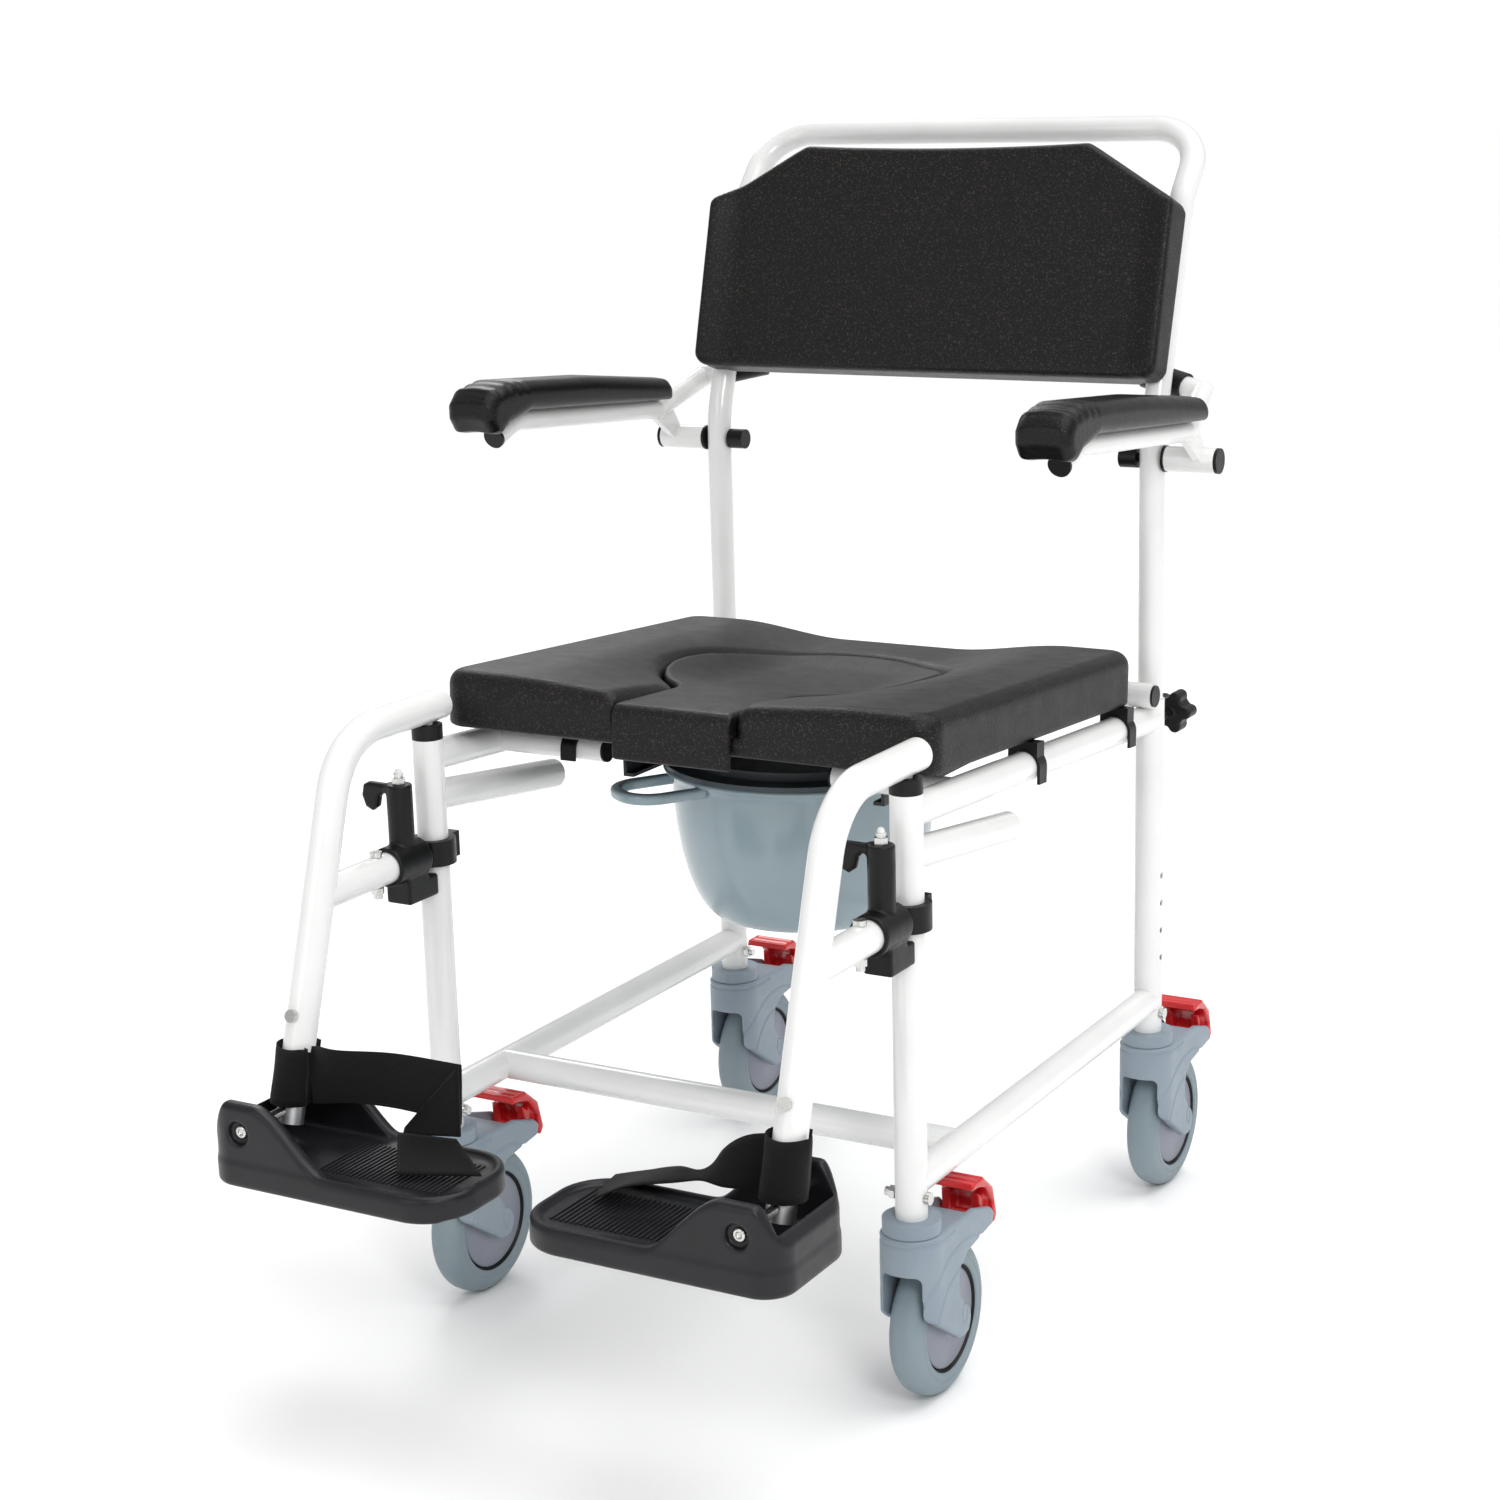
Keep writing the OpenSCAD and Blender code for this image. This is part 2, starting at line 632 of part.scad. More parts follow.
module arm_trim(s) color([0.08, 0.08, 0.08]) on_side(s) {
    p = arm_line[0];
    u = unit(arm_line[1] - p);
    side_plane(arm_x) straight(p - u * 3, p, arm_r);
    v = unit(arm_tail[2] - arm_tail[1]);
    difference() {
        link(arm_tail[2] - v * 40, arm_tail[2] + v * 3, bumper_r);
        link(arm_tail[2] - v * 60, arm_tail[2], arm_r);
    }
    translate([0, arm_pivot_y, arm_pivot_z]) {
        along_x(pivot_tube_x1, pivot_tube_x1 + 3, pivot_tube_r);
        difference() {
            along_x(leg_x + grip_r + gap, pivot_tube_x0, pivot_tube_r + 0.5);
            along_x(leg_x, pivot_tube_x0 + eps, stud_r + run_gap);
        }
    }
}

// --- footrests ---------------------------------------------------------------------------------

hanger_path = [[hanger_rear_y, hanger_z], [hanger_corner_y, hanger_z], [hanger_y(hanger_low_z), hanger_low_z]];
hanger_dir = [-sin(hanger_slope), -cos(hanger_slope)];

module hanger_tube(s) color("whitesmoke") on_side(s) {
    difference() {
        union() {
            side_plane(leg_x) bent_bar(hanger_path, [hanger_bend_r], tube_r);
            translate([leg_x, 0, strut_z]) along_y(hanger_y(strut_z), strut_rear_y, tube_r);
        }
        side_plane(leg_x) bent_bar([hanger_path[0] + [-3, 0], hanger_path[1], hanger_path[2] + hanger_dir],
            [hanger_bend_r], bore_r);
        translate([leg_x, 0, strut_z]) along_y(hanger_y(strut_z) + tube_r, strut_rear_y + eps, bore_r);
        translate([leg_x, strut_bolt_y, 0]) along_z(strut_z - tube_d, strut_z + tube_d, bolt_r + run_gap);
    }
    translate([leg_x, 0, 0]) along_z(hanger_z - tube_r - pivot_pin_len, hanger_z - tube_r + tube_wall,
        pivot_pin_r);
}

module latch_block(s) color([0.08, 0.08, 0.08]) on_side(s) translate([leg_x, 0, 0]) difference() {
    union() {
        translate([0, 0, strut_z]) along_y(socket_y0, socket_y1, socket_r);
        translate([0, latch_y, 0]) along_z(strut_z, housing_top, housing_r);
        translate([-12, socket_y0 + 14, jaw_z0]) cube([24, -socket_y0 - 14 - bore_r, jaw_z1 - jaw_z0]);
        translate([-12, socket_y0 + 14, jaw_z0]) cube([24, socket_y1 - socket_y0 - 16, strut_z - jaw_z0]);
    }
    translate([0, 0, strut_z]) along_y(socket_y0 - eps, strut_rear_y + gap, tube_r + run_gap);
    along_z(jaw_z0 - eps, jaw_z1 + eps, tube_r + gap);
    along_z(jaw_z1, housing_top, collar_r + gap * 2);
    translate([0, latch_y, 0]) along_z(strut_z, housing_top + eps, stud_r + run_gap);
}

module hanger_bolts(s) color("silver") on_side(s) translate([leg_x, 0, 0]) {
    translate([0, strut_bolt_y, strut_z + tube_r]) rotate([180, 0, 0]) capped_bolt(tube_d);
    translate([0, latch_y, 0]) {
        along_z(strut_z + tube_r + 1, housing_top + lever_hub_h + gap, stud_r);
        translate([0, 0, housing_top + lever_hub_h + gap]) cylinder(r = nut_r, h = nut_h, $fn = 6);
        along_z(housing_top + lever_hub_h + gap + nut_h, housing_top + lever_hub_h + 9, nut_cap_r);
    }
    translate([0, hanger_y(lock_bolt_z), lock_bolt_z]) rotate([90 - hanger_slope, 0, 0])
        along_z(tube_r, tube_r + bolt_head_h, bolt_head_r);
}

// The paddle points to the chair's left on both sides
module release_lever(s) color([0.08, 0.08, 0.08]) chair() translate([s * leg_x, latch_y, housing_top + gap / 2])
    difference() {
        union() {
            along_z(0, lever_hub_h, housing_r);
            translate([-lever_reach, -4, 1]) cube([lever_reach, 8, lever_hub_h - 2]);
            translate([-lever_reach, -4, 1 - lever_drop]) cube([lever_reach - housing_r - 3, 8, lever_drop + 1]);
        }
        along_z(-eps, lever_hub_h + eps, stud_r + run_gap);
    }

module slide_line(z) translate([leg_x, hanger_y(z), z]) rotate([-hanger_slope, 0, 0]) children();

module extension_tube(s) color([0.85, 0.86, 0.87]) on_side(s) {
    len = (slide_top_z - slide_low_z) / cos(hanger_slope);
    difference() {
        slide_line(slide_low_z) cylinder(r = slide_tube_r, h = len);
        slide_line(slide_low_z) translate([0, 0, -eps]) cylinder(r = slide_tube_r - slide_tube_wall, h = len + 1);
        translate([leg_x, 0, plate_hinge_z]) along_y(plate_front_y, plate_rear_y, hinge_bolt_r + run_gap);
    }
}

module plate_outline(d) {
    r = 24 - d;
    x0 = leg_x + plate_outer - plate_len + d;
    x1 = leg_x + plate_outer - d;
    y0 = plate_front_y + d;
    y1 = plate_rear_y - d;
    translate([x0 + r, y0]) square([x1 - x0 - 2 * r, y1 - y0]);
    translate([x0, y0 + r]) square([x1 - x0, y1 - y0 - 2 * r]);
    for (x = [x0 + r, x1 - r], y = [y0 + r, y1 - r]) translate([x, y]) circle(r);
}

module ear(y0, y1) {
    translate([leg_x, 0, plate_hinge_z]) along_y(y0, y1, ear_r);
    side = ear_r * 1.25;
    translate([leg_x - side, y0, plate_bottom + plate_t - 1])
        cube([side * 2, y1 - y0, plate_hinge_z - plate_bottom - plate_t + 1]);
}

module footplate(s) color([0.16, 0.16, 0.18]) on_side(s) difference() {
    union() {
        difference() {
            translate([0, 0, plate_bottom]) linear_extrude(plate_t) plate_outline(0);
            translate([0, 0, plate_bottom - plate_skin]) linear_extrude(plate_t) plate_outline(plate_skin);
        }
        intersection() {
            union() {
                ear(plate_front_y, ear_front_y);
                ear(ear_rear_y, plate_rear_y);
            }
            translate([0, 0, plate_bottom]) linear_extrude(plate_hinge_z) plate_outline(0);
        }
    }
    translate([leg_x, 0, plate_hinge_z]) along_y(plate_front_y - eps, plate_rear_y + eps, hinge_bolt_r + run_gap);
    translate([leg_x, 0, plate_hinge_z]) along_y(plate_front_y - eps, plate_front_y + bolt_head_h + 2, bolt_head_r + 3);
    translate([leg_x - 17, ear_front_y, plate_bottom - 1]) cube([plate_outer + 20, ear_rear_y - ear_front_y, 60]);
}

module footplate_bolt(s) color("silver") on_side(s) translate([leg_x, 0, plate_hinge_z]) {
    along_y(plate_front_y + 3, plate_rear_y - 1, hinge_bolt_r);
    along_y(plate_front_y + 1, plate_front_y + bolt_head_h + 1, bolt_head_r + 2);
}

strap_z0 = plate_hinge_z + 10;
strap_z1 = hanger_low_z - 3;
strap_t = 2.5;
module heel_strap(s) color([0.05, 0.05, 0.05]) on_side(s) {
    loop_r = slide_tube_r + 1;
    difference() {
        union() {
            slide_line(strap_z0) cylinder(r = loop_r + strap_t, h = strap_z1 - strap_z0 - 4);
            translate([leg_x - 10, hinge_y + 12, strap_z0 + 6]) cube([6, 12, strap_z1 - strap_z0 - 14]);
            translate([0, hinge_y + 24, 0]) rotate([90, 0, 0]) linear_extrude(strap_t) polygon([
                [leg_x - 3, strap_z0 + 4], [leg_x - 3, strap_z1 - 4], [leg_x - 70, strap_z1 - 14],
                [leg_x - plate_len * 0.7, plate_bottom + plate_t + 16],
                [leg_x - plate_len * 0.7, plate_bottom + plate_t + 2], [leg_x - 70, strap_z0 - 6]]);
        }
        slide_line(strap_z0 - 10) cylinder(r = loop_r, h = strap_z1 - strap_z0 + 20);
    }
}

// --- casters -------------------------------------------------------------------------------------

// The caster's own frame: its swivel axis at x = y = 0, the wheel trailing to +Y
module at_corner(i) chair() translate([CORNERS[i].x * leg_x, CORNERS[i].y, 0]) children();

axle_z = wheel_d / 2;
arm_r_low = 16;
module fork_cheek() {
    translate([trail, axle_z]) circle(arm_r_low);
    polygon([[-neck_r, neck_z0 + 4], [-neck_r, neck_z0 - 16], [-14, neck_z0 - 30],
        [trail - arm_r_low * 0.9, axle_z - arm_r_low * 0.4], [trail + arm_r_low * 0.75, axle_z + arm_r_low * 0.66],
        [pin_y - 28, neck_z0 - 8], [pin_y + 2, pin_z - 7], [pin_y + 5, pin_z + 4], [pin_y - 2, pin_z + 7],
        [pin_y - 36, neck_z1 - 4], [neck_r, neck_z1 - 2], [0, neck_z1 - 2], [0, neck_z0 + 4]]);
}

module caster_fork(i) color([0.55, 0.6, 0.65]) at_corner(i) difference() {
    union() {
        along_z(neck_z0, neck_z1, neck_r);
        for (x = [-fork_half_w, fork_half_w - fork_arm_t]) side_plane(x) linear_extrude(fork_arm_t) fork_cheek();
    }
    along_z(neck_z0 + 1.5, neck_z1 + eps, spigot_r + run_gap);
    translate([0, trail, axle_z]) along_x(-fork_half_w * 2, fork_half_w * 2, axle_r + run_gap);
    translate([0, pin_y, pin_z]) along_x(-fork_half_w * 2, fork_half_w * 2, pin_r + run_gap);
}

tyre_round = 9;
hub_r = 38;
module wheel(i) color([0.5, 0.56, 0.6]) at_corner(i) translate([0, trail, axle_z]) rotate([0, 90, 0]) {
    rotate_extrude($fn = 96) {
        translate([axle_r + run_gap / 2, -wheel_w / 2 + 1]) square([hub_r - axle_r, wheel_w - 2]);
        translate([hub_r - 2, -wheel_w / 2 + 3]) square([8, wheel_w - 6]);
        translate([hub_r + 4, -wheel_w / 2]) square([axle_z - hub_r - 4 - tyre_round, wheel_w]);
        translate([axle_z - tyre_round - 1, -wheel_w / 2 + tyre_round]) square([tyre_round + 1, wheel_w - 2 * tyre_round]);
        for (s = SIDES) translate([axle_z - tyre_round, s * (wheel_w / 2 - tyre_round)]) circle(tyre_round);
    }
    cylinder(r = axle_r + run_gap / 2, h = fork_half_w * 2 - 2, center = true);
}

module brake_pedal(i) color("red") at_corner(i) {
    side_plane(-pedal_half_w) linear_extrude(pedal_half_w * 2) polygon([
        [pin_y - 34, pin_z + 27], [pin_y - 32, pin_z + 36], [pin_y - 16, pin_z + 35], [pin_y + 6, pin_z + 22],
        [pin_y + 17, pin_z - 2], [pin_y + 13, pin_z - 9], [pin_y + 8.5, pin_z - 7], [pin_y + 9, pin_z + 8],
        [pin_y + 2, pin_z + 14], [pin_y - 14, pin_z + 26]]);
    side_plane(-cheek_half_w) linear_extrude(cheek_half_w * 2) polygon([
        [pin_y - 6, pin_z + 20], [pin_y - 5, pin_z - 3], [pin_y, pin_z - 5], [pin_y + 5, pin_z - 3],
        [pin_y + 10, pin_z - 3], [pin_y + 10, pin_z + 12]]);
    translate([0, pin_y, pin_z]) along_x(-fork_half_w + 1, fork_half_w - 1, pin_r);
}

// --- the nodes --------------------------------------------------------------------------------------

front_leg(-1);  // front_leg_left
front_leg(1);  // front_leg_right
rear_leg(-1);  // rear_leg_left
rear_leg(1);  // rear_leg_right
lower_rails();
upper_rails();
cross_bar();
side_stubs();
seat_stubs();
seat_back_bar();
back_canes();
push_bar();
backrest();
leg_collars();
tube_caps();
caster_stems();
stem_bolts();
arm_pivot_bolts();
star_knob(-1);  // star_knob_left
star_knob(1);  // star_knob_right
seat();
seat_clips();
bucket_runners();
seat_insert();
bucket();
bucket_lid();
arm_tube(-1);  // arm_tube_left
arm_tube(1);  // arm_tube_right
arm_pad(-1);  // arm_pad_left
arm_pad(1);  // arm_pad_right
arm_trim(-1);  // arm_trim_left
arm_trim(1);  // arm_trim_right
hanger_tube(-1);  // hanger_tube_left
hanger_tube(1);  // hanger_tube_right
latch_block(-1);  // latch_block_left
latch_block(1);  // latch_block_right
hanger_bolts(-1);  // hanger_bolts_left
hanger_bolts(1);  // hanger_bolts_right
release_lever(-1);  // release_lever_left
release_lever(1);  // release_lever_right
extension_tube(-1);  // extension_tube_left
extension_tube(1);  // extension_tube_right
footplate(-1);  // footplate_left
footplate(1);  // footplate_right
footplate_bolt(-1);  // footplate_bolt_left
footplate_bolt(1);  // footplate_bolt_right
heel_strap(-1);  // heel_strap_left
heel_strap(1);  // heel_strap_right
caster_fork(0);  // caster_fork_fl
caster_fork(1);  // caster_fork_fr
caster_fork(2);  // caster_fork_rl
caster_fork(3);  // caster_fork_rr
wheel(0);  // wheel_fl
wheel(1);  // wheel_fr
wheel(2);  // wheel_rl
wheel(3);  // wheel_rr
brake_pedal(0);  // brake_pedal_fl
brake_pedal(1);  // brake_pedal_fr
brake_pedal(2);  // brake_pedal_rl
brake_pedal(3);  // brake_pedal_rr
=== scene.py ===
import json
from math import atan2, cos, pi, radians, sin

import bmesh
import bpy
import numpy as np
import openvdb
from mathutils import Matrix, Vector


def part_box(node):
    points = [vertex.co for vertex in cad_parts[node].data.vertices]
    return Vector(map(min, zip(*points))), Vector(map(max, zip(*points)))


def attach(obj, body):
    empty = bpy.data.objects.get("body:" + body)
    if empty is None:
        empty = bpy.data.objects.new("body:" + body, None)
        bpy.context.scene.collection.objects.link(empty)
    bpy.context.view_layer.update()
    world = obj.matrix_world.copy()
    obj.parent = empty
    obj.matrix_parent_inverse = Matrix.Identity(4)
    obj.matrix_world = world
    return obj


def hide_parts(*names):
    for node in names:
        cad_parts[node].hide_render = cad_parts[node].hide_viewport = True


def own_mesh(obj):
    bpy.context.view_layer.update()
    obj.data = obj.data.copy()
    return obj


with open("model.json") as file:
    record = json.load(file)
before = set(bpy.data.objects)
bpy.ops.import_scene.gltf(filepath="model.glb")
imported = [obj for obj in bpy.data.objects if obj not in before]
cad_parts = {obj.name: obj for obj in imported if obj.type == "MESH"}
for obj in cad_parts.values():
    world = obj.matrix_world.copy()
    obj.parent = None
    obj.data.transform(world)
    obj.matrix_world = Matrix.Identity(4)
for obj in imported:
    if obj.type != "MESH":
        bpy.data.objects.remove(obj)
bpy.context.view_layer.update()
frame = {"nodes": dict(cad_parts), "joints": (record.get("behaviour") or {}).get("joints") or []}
joints = {j["name"]: j for j in frame["joints"]}
sides = {"left": -1, "right": 1}
corners = ["fl", "fr", "rl", "rr"]
print("stage: frame loaded")


# Places taken from the frame
def nodePoints(name):
    mesh = frame["nodes"][name].data
    flat = np.empty(len(mesh.vertices) * 3)
    mesh.vertices.foreach_get("co", flat)
    return flat.reshape(-1, 3)


def localBox(name, matrix):
    # box of a CAD node in a turned frame: matrix takes that frame to the world
    turned = nodePoints(name) @ np.array(matrix.to_3x3())
    return turned.min(axis=0), turned.max(axis=0)


def nodeBox(name):
    low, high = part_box(name)
    return np.array(low), np.array(high)


def jointPlace(name):
    return np.array(joints[name]["pos_m"])


legRight = nodeBox("front_leg_right")
legX = float(legRight[0][0] + legRight[1][0]) / 2
frontY = float(legRight[0][1] + legRight[1][1]) / 2
liftAxis = joints["seat_lift"]["axis"]
seatTilt = atan2(liftAxis[1], liftAxis[2])
seatTurn = Matrix.Rotation(-seatTilt, 4, "X")
slideAxis = joints["extension_slide_right"]["axis"]


# Shapes as distance fields
# A field gives the distance to a surface, below zero inside. Rounded edges and
# soft joins come from how two fields are combined.

def length(*parts):
    return np.sqrt(sum(p * p for p in parts))


def roundMax(a, b, r):
    return np.minimum(np.maximum(a, b), -r) + length(np.maximum(a + r, 0), np.maximum(b + r, 0))


def softMin(a, b, k):
    h = np.clip(0.5 + 0.5 * (b - a) / k, 0, 1)
    return b * (1 - h) + a * h - k * h * (1 - h)


def softMax(a, b, k):
    return -softMin(-a, -b, k)


def ramp(x, x0, x1):
    t = np.clip((x - x0) / (x1 - x0), 0, 1)
    return t * t * (3 - 2 * t)


def rectangle(x, y, x0, x1, y0, y1, r=0.0):
    qx = np.abs(x - (x0 + x1) / 2) - (x1 - x0) / 2 + r
    qy = np.abs(y - (y0 + y1) / 2) - (y1 - y0) / 2 + r
    return length(np.maximum(qx, 0), np.maximum(qy, 0)) + np.minimum(np.maximum(qx, qy), 0) - r


def slab(z, z0, z1):
    return np.maximum(z0 - z, z - z1)


def polygon(x, y, points):
    # signed distance to a closed outline
    best = np.full(np.broadcast(x, y).shape, 1e9)
    inside = np.zeros(best.shape, bool)
    for (ax, ay), (bx, by) in zip(points, points[1:] + points[:1]):
        ex, ey = bx - ax, by - ay
        wx, wy = x - ax, y - ay
        t = np.clip((wx * ex + wy * ey) / (ex * ex + ey * ey), 0, 1)
        best = np.minimum(best, length(wx - ex * t, wy - ey * t))
        crosses = (ay > y) != (by > y)
        if ey:
            inside ^= crosses & (x < ax + ex * (y - ay) / ey)
    return np.where(inside, -best, best)


def newObject(name, points, faces, smooth=True):
    mesh = bpy.data.meshes.new(name)
    mesh.from_pydata([tuple(p) for p in points], [], [tuple(int(i) for i in f) for f in faces])
    mesh.validate()
    if smooth:
        mesh.shade_smooth()
    obj = bpy.data.objects.new(name, mesh)
    bpy.context.scene.collection.objects.link(obj)
    return obj


def facingOut(points, quads):
    # turns the faces over if the closed surface has a negative volume
    corner = points[quads] - points.mean(axis=0)
    volume = np.einsum("ij,ij->i", corner[:, 0], np.cross(corner[:, 1], corner[:, 2])).sum()
    return quads[:, ::-1] if volume < 0 else quads


def fieldMesh(name, low, high, step, field, matrix=Matrix()):
    # samples the field over a box and turns its zero surface into a mesh
    pad = 3 * step
    low, high = np.array(low) - pad, np.array(high) + pad
    counts = np.ceil((high - low) / step).astype(int) + 1
    x, y, z = (low[i] + step * np.arange(counts[i]) for i in range(3))
    values = field(x[:, None, None], y[None, :, None], z[None, None, :])
    values = np.broadcast_to(values, tuple(counts)).astype(np.float32)
    grid = openvdb.FloatGrid(background=1.0)
    grid.copyFromArray(np.ascontiguousarray(values / step))
    points, triangles, quads = grid.convertToPolygons(isovalue=0.0, adaptivity=0.0)
    turned = (points * step + low) @ np.array(matrix.to_3x3()).T + np.array(matrix.translation)
    obj = newObject(name, turned, facingOut(turned, quads))
    print("made", name, len(quads) * 2, "triangles")
    return obj


def lathe(name, outline, centre, axis="Z", steps=96):
    # outline: (radius, along) pairs from the axis round to the axis again
    points, faces = [], []
    rings = []
    for r, a in outline:
        if r < 1e-6:
            rings.append([len(points)])
            points.append((0, 0, a))
            continue
        rings.append(list(range(len(points), len(points) + steps)))
        points += [(r * cos(2 * pi * i / steps), r * sin(2 * pi * i / steps), a) for i in range(steps)]
    for p, q in zip(rings, rings[1:]):
        for i in range(steps):
            j = (i + 1) % steps
            if len(p) == 1 and len(q) == 1:
                continue
            if len(p) == 1:
                faces.append((p[0], q[j], q[i]))
            elif len(q) == 1:
                faces.append((p[i], p[j], q[0]))
            else:
                faces.append((p[i], p[j], q[j], q[i]))
    turn = {"Z": Matrix(), "X": Matrix.Rotation(pi / 2, 4, "Y"), "Y": Matrix.Rotation(-pi / 2, 4, "X")}[axis]
    obj = newObject(name, points, faces)
    obj.data.transform(Matrix.Translation(centre) @ turn)
    fixNormals(obj)
    return obj


def fixNormals(obj):
    bm = bmesh.new()
    bm.from_mesh(obj.data)
    bmesh.ops.remove_doubles(bm, verts=bm.verts, dist=1e-6)
    bmesh.ops.recalc_face_normals(bm, faces=bm.faces)
    bm.to_mesh(obj.data)
    bm.free()


def copyOf(obj, name, matrix):
    new = bpy.data.objects.new(name, obj.data.copy())
    new.data.name = name
    new.data.transform(matrix)
    if matrix.to_3x3().determinant() < 0:
        new.data.flip_normals()
    bpy.context.scene.collection.objects.link(new)
    return new


def arc(cx, cy, r, a0, a1, count):
    return [(cx + r * cos(radians(a0 + (a1 - a0) * i / count)),
             cy + r * sin(radians(a0 + (a1 - a0) * i / count))) for i in range(count + 1)]


mirrorX = Matrix.Scale(-1, 4, (1, 0, 0))


# Materials
class Wire:
    # a socket that does arithmetic by adding Math nodes
    def __init__(self, shader, socket):
        self.shader = shader
        self.socket = socket

    def maths(self, operation, a, b):
        return self.shader.node("ShaderNodeMath", {"operation": operation}, {0: a, 1: b})

    def __add__(self, other):
        return self.maths("ADD", self, other)

    def __radd__(self, other):
        return self.maths("ADD", other, self)

    def sine(self):
        return self.shader.node("ShaderNodeMath", {"operation": "SINE"}, {0: self})

    def __sub__(self, other):
        return self.maths("SUBTRACT", self, other)

    def __rsub__(self, other):
        return self.maths("SUBTRACT", other, self)

    def __mul__(self, other):
        return self.maths("MULTIPLY", self, other)

    def __rmul__(self, other):
        return self.maths("MULTIPLY", other, self)

    def __pow__(self, other):
        return self.maths("POWER", self, other)


class Shader:
    def __init__(self, name):
        self.material = bpy.data.materials.new(name)
        self.material.use_nodes = True
        self.tree = self.material.node_tree
        self.tree.nodes.clear()
        self.place = self.node("ShaderNodeTexCoord", out="Object")

    def node(self, kind, settings={}, inputs={}, out=0):
        new = self.tree.nodes.new(kind)
        for key, value in settings.items():
            if key == "stops":
                for element, (at, colour) in zip(new.color_ramp.elements, value):
                    element.position = at
                    element.color = (*colour, 1)
            else:
                setattr(new, key, value)
        for key, value in inputs.items():
            if isinstance(value, Wire):
                self.tree.links.new(value.socket, new.inputs[key])
            elif value is not None:
                new.inputs[key].default_value = value
        return Wire(self, new.outputs[out])

    def noise(self, scale, detail=3.0, rough=0.5, stretch=None):
        place = self.place
        if stretch:
            place = self.node("ShaderNodeMapping", {}, {"Vector": place, "Scale": stretch})
        return self.node("ShaderNodeTexNoise", {}, {"Vector": place, "Scale": scale, "Detail": detail,
                                                   "Roughness": rough})

    def spots(self, scale, feature="F1"):
        return self.node("ShaderNodeTexVoronoi", {"feature": feature},
                         {"Vector": self.place, "Scale": scale})

    def range(self, value, a, b, c=0.0, d=1.0):
        return self.node("ShaderNodeMapRange", {}, {0: value, 1: a, 2: b, 3: c, 4: d})

    def mix(self, amount, a, b):
        return self.node("ShaderNodeMix", {"data_type": "RGBA"}, {0: amount, 6: rgba(a), 7: rgba(b)}, out=2)

    def bump(self, height, strength, distance, under=None):
        return self.node("ShaderNodeBump", {}, {"Strength": strength, "Distance": distance, "Height": height,
                                                "Normal": under})

    def surface(self, colour, roughness, normal=None, **fixed):
        inputs = {"Base Color": rgba(colour), "Roughness": roughness, "Normal": normal}
        inputs.update({key.replace("_", " "): value for key, value in fixed.items()})
        shaded = self.node("ShaderNodeBsdfPrincipled", {}, inputs)
        out = self.tree.nodes.new("ShaderNodeOutputMaterial")
        self.tree.links.new(shaded.socket, out.inputs["Surface"])
        return self.material


def rgba(colour):
    return (*colour, 1.0) if isinstance(colour, tuple) and len(colour) == 3 else colour


def whitePaint():
    # glossy powder coat: a faint orange peel and slightly duller patches
    s = Shader("whitePowderCoat")
    peel = s.noise(420, 2)
    dirt = s.noise(14, 4)
    colour = s.mix(s.range(dirt, 0.35, 0.75), (0.80, 0.805, 0.795), (0.75, 0.755, 0.745))
    return s.surface(colour, s.range(s.noise(35, 3), 0.3, 0.7, 0.17, 0.27), s.bump(peel, 0.12, 0.0004),
                     Coat_Weight=0.35, Coat_Roughness=0.08)


def foamSkin(name, base, fleck, roughness):
    # self-skinned foam: a fine pebble grain with lighter flecks
    s = Shader(name)
    grain = s.spots(780)
    fine = s.noise(1500, 2)
    flecks = s.range(s.noise(620, 1), 0.55, 0.70)
    cloud = s.range(s.noise(9, 2), 0.3, 0.7)
    colour = s.mix(flecks * (0.50 + cloud * 0.15), base, fleck)
    rough = s.range(s.noise(60, 4), 0.3, 0.7, roughness - 0.03, roughness + 0.04)
    return s.surface(colour, rough, s.bump(fine, 0.25, 0.0003, s.bump(grain, 0.35, 0.0006)),
                     Specular_IOR_Level=0.24)


def mouldedPlastic(name, base, worn, roughness, grain=900, strength=0.25, coat=0.0, shine=0.4):
    s = Shader(name)
    fine = s.noise(grain, 3)
    cloud = s.range(s.noise(18, 4), 0.35, 0.7)
    colour = s.mix(cloud * 0.7, base, worn)
    rough = s.range(s.noise(90, 4), 0.3, 0.7, roughness - 0.05, roughness + 0.07)
    return s.surface(colour, rough, s.bump(fine, strength, 0.0003), Coat_Weight=coat, Coat_Roughness=0.12,
                     Specular_IOR_Level=shine)


def steel(name, colour, roughness):
    s = Shader(name)
    lines = s.noise(500, 3, 0.6, (1, 1, 14))
    rough = s.range(lines, 0.3, 0.7, roughness - 0.06, roughness + 0.1)
    return s.surface(colour, rough, s.bump(lines, 0.06, 0.0002), Metallic=1.0)


def webbingCloth():
    # woven strap: ribs across the width on the strap's own UV map, in metres
    s = Shader("blackWebbing")
    uv = s.node("ShaderNodeUVMap", {"uv_map": "weave"})
    along = s.node("ShaderNodeSeparateXYZ", {}, {0: uv}, out=0)
    across = s.node("ShaderNodeSeparateXYZ", {}, {0: uv}, out=1)
    warp = (across * (2 * pi / 0.0016)).sine()
    weft = (along * (2 * pi / 0.0011) + warp * 1.5).sine()
    height = warp * 0.5 + weft * 0.4
    colour = s.mix(s.range(height, -0.9, 0.9), (0.0018, 0.0018, 0.0018), (0.009, 0.009, 0.0095))
    return s.surface(colour, 0.82, s.bump(height, 0.5, 0.0004), Sheen_Weight=0.06, Sheen_Roughness=0.5,
                     Specular_IOR_Level=0.15)


